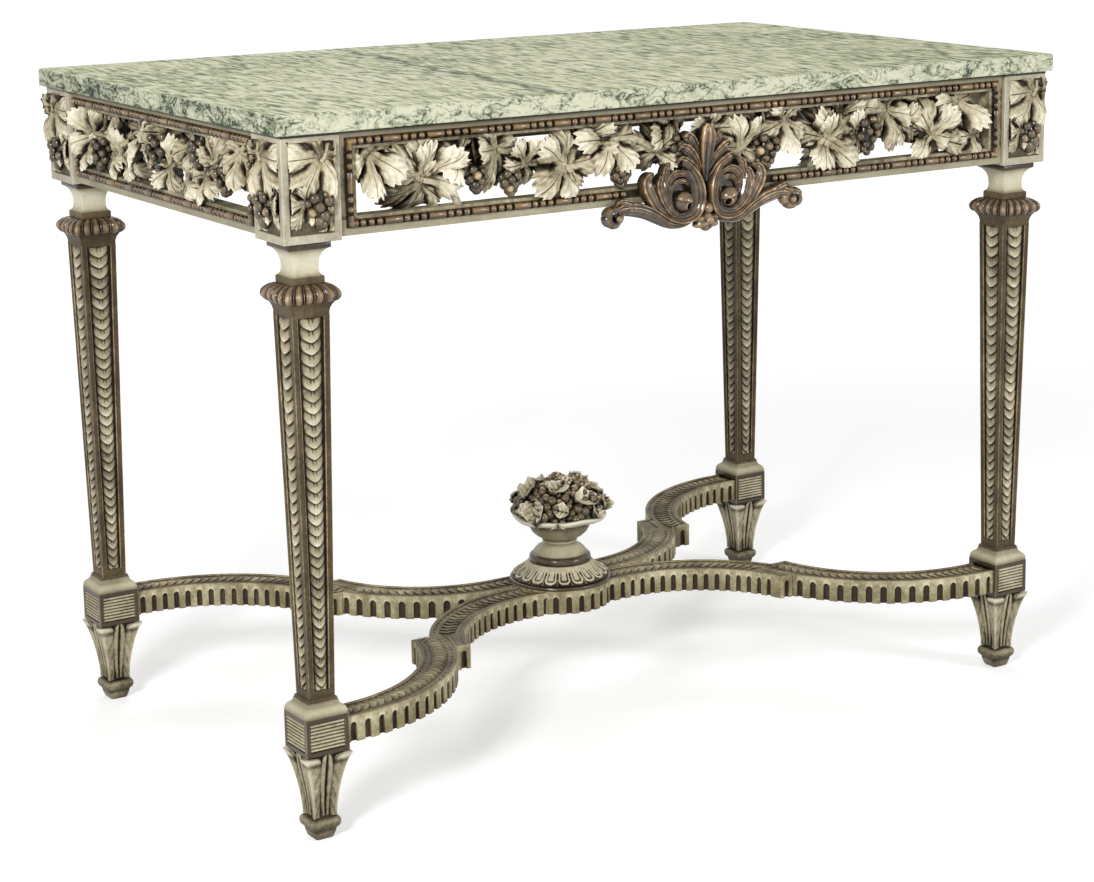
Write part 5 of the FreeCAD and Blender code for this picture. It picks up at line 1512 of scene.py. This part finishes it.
def arc_radius(run, drop):
    """Radius of the circle that leaves a line and reaches a point that far along and aside."""
    return (run ** 2 + drop ** 2) / (2 * drop)


leg_arc_radius = arc_radius(leg_arc_start - break_x - break_jog / 2, leg_middle[1] - break_y)
hub_arc_radius = arc_radius(break_x - break_jog / 2 - hub_arc_start, break_y - arm_offset)


def leg_band(station, aside):
    """Band from a plinth, station 0, to the break, station 1: points that far aside of its middle."""
    middle_y = leg_middle[1] - leg_arc_radius
    radius = leg_arc_radius + aside
    end = np.pi - np.arcsin((break_low - middle_y) / radius)
    lead = plinth_lead / leg_band_length
    turn = step_up(station, lead, 1 - lead) * (end - np.pi / 2) + np.pi / 2
    straight = np.clip(1 - station / lead, 0, 1) * plinth_lead
    return leg_arc_start + radius * np.cos(turn) + straight, middle_y + radius * np.sin(turn)


def hub_band(station, aside):
    """Band from inside the drum, station 0, to the break, station 1."""
    middle_y = arm_offset + hub_arc_radius
    radius = hub_arc_radius + aside
    end = np.arcsin((break_high - middle_y) / radius)
    lead = hub_straight / hub_band_length
    turn = step_up(station, lead, 1 - lead) * (end + np.pi / 2) - np.pi / 2
    straight = np.clip(1 - station / lead, 0, 1) * hub_straight
    return hub_arc_start + radius * np.cos(turn) - straight, middle_y + radius * np.sin(turn)


leg_turn = np.pi / 2 - np.arcsin((break_low - leg_middle[1] + leg_arc_radius) / leg_arc_radius)
hub_turn = np.arcsin((break_high - arm_offset - hub_arc_radius) / hub_arc_radius) + np.pi / 2
leg_band_length = plinth_lead + leg_arc_radius * leg_turn
hub_straight = hub_arc_start - hub_band_start
hub_band_length = hub_straight + hub_arc_radius * hub_turn
print("the bands of an arm are", round(leg_band_length), "and", round(hub_band_length), "mm long")

# %% flutes, borders and scales of a band
flute_pitch, flute_width, flute_height, flute_depth = 16.5, 7.5, 23.0, 4.0
flute_start, plain_step = 8.0, 0.5  # middle of a wall's first flute, and height of the step between flutes
border_width, channel_depth, edge_width, edge_drop = 4.4, 2.2, 1.2, 0.7
border_steps, edge_softness = 60, 0.6
scale_pitch, scale_half, dot_size = 10.6, 10.6, (1.5, 1.5, 0.5)
FLUTE_STATIONS = np.array([-1.0, -1.0, -0.85, -0.55, -0.2, 0.2, 0.55, 0.85, 1.0, 1.0])


def flute_row(middles):
    """Stations of a row of flutes: distance along the wall, arch height and whether it is inside.

    The arch is half a circle of the flute's width on top of straight sides."""
    inside = np.tile(np.arange(len(FLUTE_STATIONS)) % (len(FLUTE_STATIONS) - 1) > 0, len(middles))
    distance = (middles[:, None] + FLUTE_STATIONS * flute_width / 2).ravel()
    rise = np.sqrt(1 - np.tile(FLUTE_STATIONS, len(middles)) ** 2) * flute_width / 2
    return distance, np.where(inside, flute_height - flute_width / 2 + rise, plain_step), inside


def flute_stations(length):
    """The row of flutes that fits a wall, with a plain station at both ends of the wall."""
    row = flute_row(np.arange(flute_start, length - flute_width / 2 - 1.0, flute_pitch))
    ends = ((0.0, length), (plain_step, plain_step), (False, False))
    return [np.concatenate([[first], values, [last]]) for values, (first, last) in zip(row, ends)]


def fluted_body(band, length, sink):
    """Loop at each station: both walls with thin top edges, the flat channel and the bottom."""
    distance, arch, inside = flute_stations(length)
    flat = np.ones_like(arch)
    cut = np.where(inside, arm_half - flute_depth, arm_half)
    top, floor = arm_top - sink - edge_drop, arm_top - sink - channel_depth
    step = arm_bottom + arch
    wall = np.stack([cut, cut, *[arm_half * flat] * 2, *[(arm_half - edge_width) * flat] * 2], 1)
    heights = np.stack([arm_bottom * flat, step, step, *[top * flat] * 2, floor * flat], 1)
    tone = [np.where(inside, *pair) for pair in ((0.0, 0.52), (0.02, 0.52), (0.9, 0.54))]
    tone = np.stack([*tone, 0.7 * flat, 0.6 * flat, 0.5 * flat], 1)
    wall = np.concatenate([wall, -wall[:, ::-1]], 1)
    x, y = band(distance[:, None] / length, wall)
    heights, tone = (np.concatenate([values, values[:, ::-1]], 1) for values in (heights, tone))
    return grid_of(x, y, heights), tone


def on_band(band, station, aside, height):
    """Points of a band from their stations, distances aside and heights."""
    return grid_of(*band(station, aside), height)


def border_strip(band, inner, outer, low, high, last):
    """Raised flat border along a band with softened edges, as far as its last station."""
    soft = np.sign(outer) * edge_softness
    aside = np.array([outer, outer, outer - soft, inner + soft, inner, inner])
    height = np.array([low, high - edge_softness, high, high, high - edge_softness, low])
    return on_band(band, np.linspace(0, last, border_steps)[:, None], aside[None], height)


def station_at(band, aside, height):
    """Station where a line of the band, that far aside, passes a place across the table."""
    stations = np.linspace(0, 1, 500)
    beyond = (band(stations, aside)[1] - height) * (band(1.0, aside)[1] - height) > 0
    return stations[beyond].min() if beyond.any() else 1.0


def scales_on_top(band, length, sink, last):
    """Rounded scales along the middle of an arm's sunk top, with a nick at each end of their edges."""
    covered = length * last
    count = int(covered / scale_pitch)
    pitches = np.full(count, (covered - 7.0) / count)
    shares, tone = close_strip(*scale_strip(pitches, 7.0, 2.4, 0.72, 9), -1.0)
    station = np.clip(shares[..., 1] / length, 0, last)
    height = arm_top - channel_depth - sink + 0.2 + shares[..., 2]
    return on_band(band, station, shares[..., 0] * scale_half, height), 0.02 + 0.82 * tone


def pricked_dots(band, length, sink, last):
    """Small dark dots in two rows beside the scales."""
    stations = np.arange(scale_pitch, length * last - 4.0, scale_pitch) / length
    aside = np.array([-1.0, 1.0])[:, None] * (arm_half - border_width - 2.4)
    dots = on_band(band, stations[None], aside, arm_top - sink - channel_depth)
    return dots.reshape(-1, 1, 1, 3) + ball(5, 8) * dot_size


print(len(flute_stations(leg_band_length)[0]), "stations along the band at a leg")

# %% build the arms
border_tone = np.array([0.3, 0.95, 0.7, 0.7, 0.95, 0.1])
EAR_TONE = np.array([0.5, 0.68, 0.68, 0.0])
end_low, end_high = arm_bottom + 0.5, arm_top - 2.5
# dark floor of the flute in a free end: side and height of its corners, and both its depths
END_CORNERS = np.array([(-1, end_low), (1, end_low), (1, end_high), (-1, end_high)])
END_DEPTHS = np.array([[0.0], [0.4]])
bands = [  # band, length, how much lower it lies, where its inner border ends, and its last scale's station
    (leg_band, leg_band_length, 0.0, break_high, 1.0),
    (hub_band, hub_band_length, 0.25, break_low, station_at(hub_band, 0.0, break_low)),
]
EAR_ARCH = [(-np.cos(turn), 1.0 + np.sin(turn)) for turn in np.linspace(0, np.pi, 9)]
EAR_INNER = [(-1.0, 0.0), *EAR_ARCH, (1.0, 0.0)]
EAR_OUTER = [(-1, 0), (-1, 0.6), (-1, 0.85), (-1, 1), (-0.6, 1), (0, 1), (0.6, 1), (1, 1), (1, 0.85),
             (1, 0.6), (1, 0)]


def ear_front(x, ear_width, y, facing):
    """Wall with one round topped flute on a band's free end: middle x, width, face y, direction."""
    flute = np.array(EAR_INNER) * (flute_width / 2, 1.0)
    flute[1:-1, 1] = flute_height - flute_width / 2 + (flute[1:-1, 1] - 1.0) * flute_width / 2
    outer = np.array(EAR_OUTER, float) * (ear_width / 2, arm_top - arm_bottom - 1.0)
    loop = np.stack([flute, outer, outer, flute], 1)
    depth = y - facing * flute_depth * np.array([0, 0, 1, 1])
    return grid_of(x + loop[..., 0], depth, arm_bottom + loop[..., 1])


ears = []  # the part of a band's end that the other band leaves free
for band, other, end, facing in ((leg_band, hub_band, break_low, -1), (hub_band, leg_band, break_high, 1)):
    outer_x = band(1.0, -arm_half)[0]
    inner_x = other(station_at(other, arm_half, end), arm_half)[0]
    ears.append(((outer_x + inner_x) / 2, abs(outer_x - inner_x), end, facing))
print("free ends are", *[round(ear[1], 1) for ear in ears], "mm wide")
for corner, (sign_x, sign_y) in CORNERS.items():
    arm = Carving()
    mirror = (sign_x, sign_y, 1)
    for band, length, sink, meeting, last_scale in bands:
        grid, tone = fluted_body(band, length, sink)
        arm.add(grid * mirror, tone, 0)
        for side_sign in (-1, 1):
            inner, outer = side_sign * (arm_half - border_width), side_sign * (arm_half - edge_width / 2)
            last = station_at(band, inner, meeting) if side_sign > 0 else 1.0
            grid = border_strip(band, inner, outer, arm_top - channel_depth - 1.0, arm_top - sink, last)
            arm.add(grid * mirror, border_tone, 1)
        grid, tone = scales_on_top(band, length, sink, last_scale)
        arm.add(grid * mirror, tone, 0)
        arm.add(pricked_dots(band, length, sink, last_scale) * mirror, 0.0, 0, caps=False)
    for ear_x, ear_width, ear_y, facing in ears:
        grid = ear_front(ear_x, ear_width, ear_y + facing * flute_depth, facing)
        arm.add(grid * mirror, EAR_TONE, 0)
        across = ear_x + END_CORNERS[:, 0] * ear_width / 2
        dark_end = grid_of(across, ear_y + facing * END_DEPTHS, END_CORNERS[:, 1])
        arm.add(dark_end * mirror, 0.0, 0)
    arm.make(f"stretcher_carved_{corner}", ["flute_cream", "brown_glaze"], "cream_paint",
             [f"stretcher_arm_{corner}"])

# %% [markdown]
# The hub is a fluted drum made by the same stations, bent round a circle. Its first and last stations
# meet.

# %% hub
core_radius = 20.0
hub_length = 2 * np.pi * hub_radius
hub_flutes = int(hub_length / flute_pitch)
hub_row = flute_row((np.arange(hub_flutes) + 0.5) * hub_length / hub_flutes)
hub_distance, hub_arch, hub_inside = (np.concatenate([values, values[:1]]) for values in hub_row)
hub_distance[-1] += hub_length
hub_turns = hub_distance[:, None] / hub_radius
hub_top = arm_bottom + hub_arch
hub_wall = np.where(hub_inside, hub_radius - flute_depth, hub_radius)
hub_face = np.where(hub_inside, 0.0, 0.6)
flat = np.ones_like(hub_wall)
hub_radii = np.stack([core_radius * flat, hub_wall, hub_wall, *[hub_radius * flat] * 2,
                      core_radius * flat], 1)
hub_heights = np.stack([*[arm_bottom * flat] * 2, hub_top, hub_top, *[arm_top * flat] * 2], 1)
hub_arris = np.where(hub_inside, 0.9, 0.62)  # the wall just over a flute is worn pale
hub_tone = np.stack([0.4 * flat, hub_face, hub_face, hub_arris, 0.66 * flat, 0.4 * flat], 1)
hub_grid = round_points(hub_radii, hub_turns, hub_heights)
hub = Carving()
hub.add(hub_grid, hub_tone, caps=False)
hub.make("stretcher_hub_carved", ["flute_cream"], "cream_paint", ["stretcher_hub"])

# %% [markdown]
# ## Finial
# On the hub stands a small urn: a dark ring, a slope of leaf tips that point down, a glossy ring, a
# cream dome and a flared bowl heaped with grapes and leaves. The turned parts are profiles. The slope
# is a grid whose height follows the outline of each tip, with a pale rim and tongue on a brown ground.

# %% base and bowl
BASE_RING = [(50.0, 138.5), (62.5, 138.7), (64.6, 139.6), (65.0, 141.0), (64.2, 142.6), (62.0, 143.6),
             (50.0, 144.0)]
DARK_RING = [(32.0, 161.6), (36.2, 162.0), (38.6, 163.6), (39.6, 167.2), (38.8, 170.8), (36.4, 173.0),
             (32.0, 173.4)]
DOME = [(34.0, 172.8), (33.6, 175.0), (32.0, 178.2), (28.8, 181.4), (24.6, 183.6), (21.0, 184.8),
        (18.8, 186.4), (18.4, 188.6)]
DOME_TONE = np.array([0.2, 0.36, 0.46, 0.54, 0.58, 0.44, 0.3, 0.2])[:, None]
BOWL = [(18.0, 187.2), (21.6, 188.2), (22.6, 189.8), (21.0, 191.2), (20.4, 192.6), (24.0, 194.0),
        (30.0, 197.0), (35.4, 202.0), (38.6, 208.0), (39.6, 213.2), (41.0, 214.6), (47.0, 216.2),
        (54.0, 218.4), (59.0, 221.2), (60.4, 223.4), (59.0, 225.6), (55.0, 226.0), (48.0, 223.0),
        (30.0, 217.0)]
BOWL_TONE = np.array([0.2, 0.45, 0.5, 0.12, 0.1, 0.22, 0.28, 0.24, 0.16, 0.04, 0.0, 0.4, 0.62, 0.86, 0.95,
                      0.95, 0.7, 0.3, 0.1])[:, None]
tip_count, tip_columns = 20, 18


def tip_slope():
    """Slope of leaf tips: rows go down and out, raised inside each tip's rounded end."""
    share = np.linspace(0, 1, 30)[:, None]
    phase = np.tile(np.linspace(-1, 1, tip_columns, endpoint=False), tip_count)[None]
    turn = full_turn(tip_count * tip_columns)[None]
    edge = 0.97 - 0.3 * np.abs(phase) ** 3
    below = step_up(share, 0.3, 0.06)
    inside = step_up(edge, share, 0.05) * step_up(0.92, np.abs(phase), 0.1) * below
    rim = inside * np.clip(bell(edge - share - 0.08, 0.05) + bell(np.abs(phase) - 0.72, 0.13), 0, 1)
    dart = bell(np.abs(phase) - 1, 0.08) * (share > 0.45) * (share < 0.97)
    band = 1 - below
    lift = 0.9 * inside + 1.2 * rim + 0.8 * dart + 1.4 * band
    radius = 40.0 + 22.5 * share - 2.5 * np.sin(np.pi * share) + 0.65 * lift
    height = 162.0 - 17.2 * share + 0.75 * lift
    tongue = inside * step_up(edge - share, 0.2, 0.05) * step_up(0.44, np.abs(phase), 0.1)
    tone = np.clip(0.06 + 0.12 * inside + 0.7 * rim + 0.5 * tongue + 0.45 * dart + 0.56 * band, 0, 1)
    grid, under = round_points(radius, turn, height), round_points(38.0, turn, 144.0)
    return np.concatenate([grid, under]), np.concatenate([tone, np.zeros_like(tone[:1])])


base = Carving()
base.add(round_turned(BASE_RING), 0.5, 1)
tip_grid, tip_tone = tip_slope()
base.add(tip_grid, tip_tone, 0)
base.add(round_turned(DARK_RING), 0.5, 1)
base.add(round_turned(DOME), DOME_TONE, 2)
base.make("finial_base_carved", ["carved_cream", "dark_glaze", "neck_cream"], "cream_paint",
          ["finial_base"])
bowl_grid = round_turned(BOWL, 72)
lip_turn = full_turn(72)
wobble = 1.3 * np.sin(3 * lip_turn + 0.6) + 0.9 * np.sin(7 * lip_turn)
bowl_grid[..., 2] += wobble * step_up(np.array(BOWL)[:, :1], 46, 14)
bowl = Carving()
bowl.add(bowl_grid, BOWL_TONE)
bowl.make("finial_bowl_turned", ["neck_cream"], "cream_paint", ["finial_bowl"])

# %% [markdown]
# The fruit is a mound of grapes set by the golden angle over a dome painted dark as the shade between
# them, with cupped oval leaves laid over its slope and a few clusters of small florets on top. Grapes
# and florets are painted lighter on top, as a highlight.

# %% mound of grapes
fruit_level, fruit_top, fruit_radius = 222.0, 276.0, 51.0
grape_count, FRUIT_SEED = 170, 41
fruit = Carving()
rng = np.random.default_rng(FRUIT_SEED)


def mound_at(turn, up_share, out):
    """Point of a lumpy dome with five swells, by direction, share of its height and distance out."""
    swell = 1 + 0.1 * np.sin(5 * turn + 1.0) * np.sin(np.pi * up_share)
    radius = (fruit_radius + out) * np.sqrt(np.clip(1 - up_share ** 3.0, 0, 1)) * swell
    waves = 4 * np.sin(2 * turn + 0.5) * (1 - up_share)
    height = fruit_level + (fruit_top - fruit_level - 9 + waves) * up_share
    return round_points(radius, turn, height)


grape_turn = np.arange(grape_count) * GOLDEN_ANGLE
grape_share = (np.arange(grape_count) + 0.5) / grape_count
mound = mound_at(grape_turn, grape_share, rng.uniform(-2.0, 2.5, grape_count))
mound = mound + rng.normal(0, 0.9, (grape_count, 3))
grape_sizes = rng.uniform(4.4, 6.9, grape_count)[:, None, None, None]
grape_shade = rng.normal(size=(grape_count, 1, 1))
# painted highlight: each grape is lighter on its upper side
grape_tone = np.clip(0.56 + 0.34 * ball(7, 10)[None, ..., 2] + 0.1 * grape_shade, 0.05, 1)
fruit.add(mound[:, None, None] + grape_sizes * ball(7, 10), grape_tone, 1, caps=False)
# painted shade: the dome under the grapes is dark, standing for the shade between them
core = [(46.0, 218.0), (46.0, 229.0), (42.0, 243.0), (31.0, 256.0), (12.0, 264.0)]
fruit.add(round_turned(core, 32), 0.0, 1)
print(grape_count, "grapes in the mound")

# %% leaves and florets on the mound
FRUIT_LEAF_SEED, leaf_clearance = 400, 11.0  # leaves start this far out from the mound


def cupped_leaf(length, seed):
    """Oval leaf along its first axis: hollow in the middle, with a wavy rim and slanting veins."""
    rng = np.random.default_rng(seed)
    share, across = np.linspace(0, 1, 14)[:, None], np.linspace(-1, 1, 13)[None]
    half = 0.42 * length * np.sin(np.pi * (0.1 + 0.86 * share)) ** 0.7 * rng.uniform(0.85, 1.2)
    wave = np.sin(11 * share + rng.uniform(0, 6)) * across ** 2
    vein = np.cos(2 * np.pi * (4 * share - 0.9 * np.abs(across)))
    cup = 0.22 * across ** 2 + rng.uniform(-0.1, 0.12) * share ** 2 + 0.06 * wave
    cup = cup + 0.022 * vein - 0.05 * bell(across, 0.12)
    x = length * (share + 0.1 * across ** 2 * (1 - share))
    top = grid_of(x, half * across * (1 + 0.08 * wave), length * cup)
    tone = 0.62 + 0.16 * vein + 0.34 * np.abs(across) ** 6 - 0.4 * bell(across, 0.1) + 0.1 * rng.normal()
    back = (top - (0, 0, 0.1 * length))[:, -2:0:-1]
    tones = np.concatenate([tone, np.full((14, 11), 0.06)], 1)
    return np.concatenate([top, back], 1), np.clip(tones, 0.03, 1)


# degrees round the mound, share of its height, length, direction on the slope, lift of the tip
LEAF_PLACES = [
    (176, 0.62, 24, 100, 16), (200, 0.6, 24, -60, 6), (236, 0.10, 19, -90, 0), (214, 0.24, 14, 150, 4),
    (262, 0.66, 27, 5, 6), (228, 0.82, 22, 70, 8), (298, 0.36, 21, 30, 0), (322, 0.62, 22, 60, 6),
    (288, 0.12, 17, 70, 0), (180, 0.16, 17, 60, 0), (352, 0.12, 20, 85, 0), (20, 0.66, 23, 80, 6),
    (48, 0.24, 20, 90, 0), (76, 0.6, 23, 30, 6), (105, 0.2, 20, -80, 6), (136, 0.3, 22, 110, 4),
    (330, 0.10, 17, 100, 0), (250, 0.36, 16, 160, 4), (130, 0.8, 20, 90, 8),
]
for place, (round_by, up_share, length, direction, tip_lift) in enumerate(LEAF_PLACES):
    grid, tone = cupped_leaf(1.3 * length, FRUIT_LEAF_SEED + place)
    across, upward, away = np.moveaxis(grid @ rotation(direction, tip_lift, 0).T, -1, 0)
    away = away - (across ** 2 + upward ** 2) / (1.8 * fruit_radius)
    slope, facing = np.radians(10 + 68 * up_share), np.radians(round_by)
    start = mound_at(facing, np.array(up_share), leaf_clearance)
    depth = away * np.cos(slope) - upward * np.sin(slope)
    height = start[2] + upward * np.cos(slope) + away * np.sin(slope)
    x = start[0] + depth * np.cos(facing) - across * np.sin(facing)
    y = start[1] + depth * np.sin(facing) + across * np.cos(facing)
    height = np.maximum(height, fruit_level - 1.0)
    fruit.add(grid_of(x, y, height), tone, 0)
FLORETS = [  # place of a cluster and its finish
    (-20, -10, 269, 0), (2, -14, 273, 0), (20, -22, 267, 2), (4, 12, 273, 2), (28, 2, 268, 2),
]
floret_count, floret_radius, cluster_radius = 16, 2.5, 9.0
floret_turn = np.arange(floret_count) * GOLDEN_ANGLE
floret_out = cluster_radius * np.sqrt((np.arange(floret_count) + 0.5) / floret_count)
cluster = round_points(floret_out, floret_turn, -0.06 * floret_out ** 2)
for *middle, finish in FLORETS:
    shade = rng.normal(size=(floret_count, 1, 1))
    # painted highlight: each floret is lighter on its upper side
    floret_tone = np.clip(0.5 + 0.3 * shade + 0.2 * ball()[None, ..., 2], 0.05, 1)
    florets = cluster + middle
    fruit.add(florets[:, None, None] + floret_radius * ball(), floret_tone, finish, caps=False)
fruit.make("finial_fruit_carved", ["carved_cream", "grape_bronze", "chipped_paint"], "bronzed_paint",
           ["finial_fruit"], glaze_and_shade=0.4)
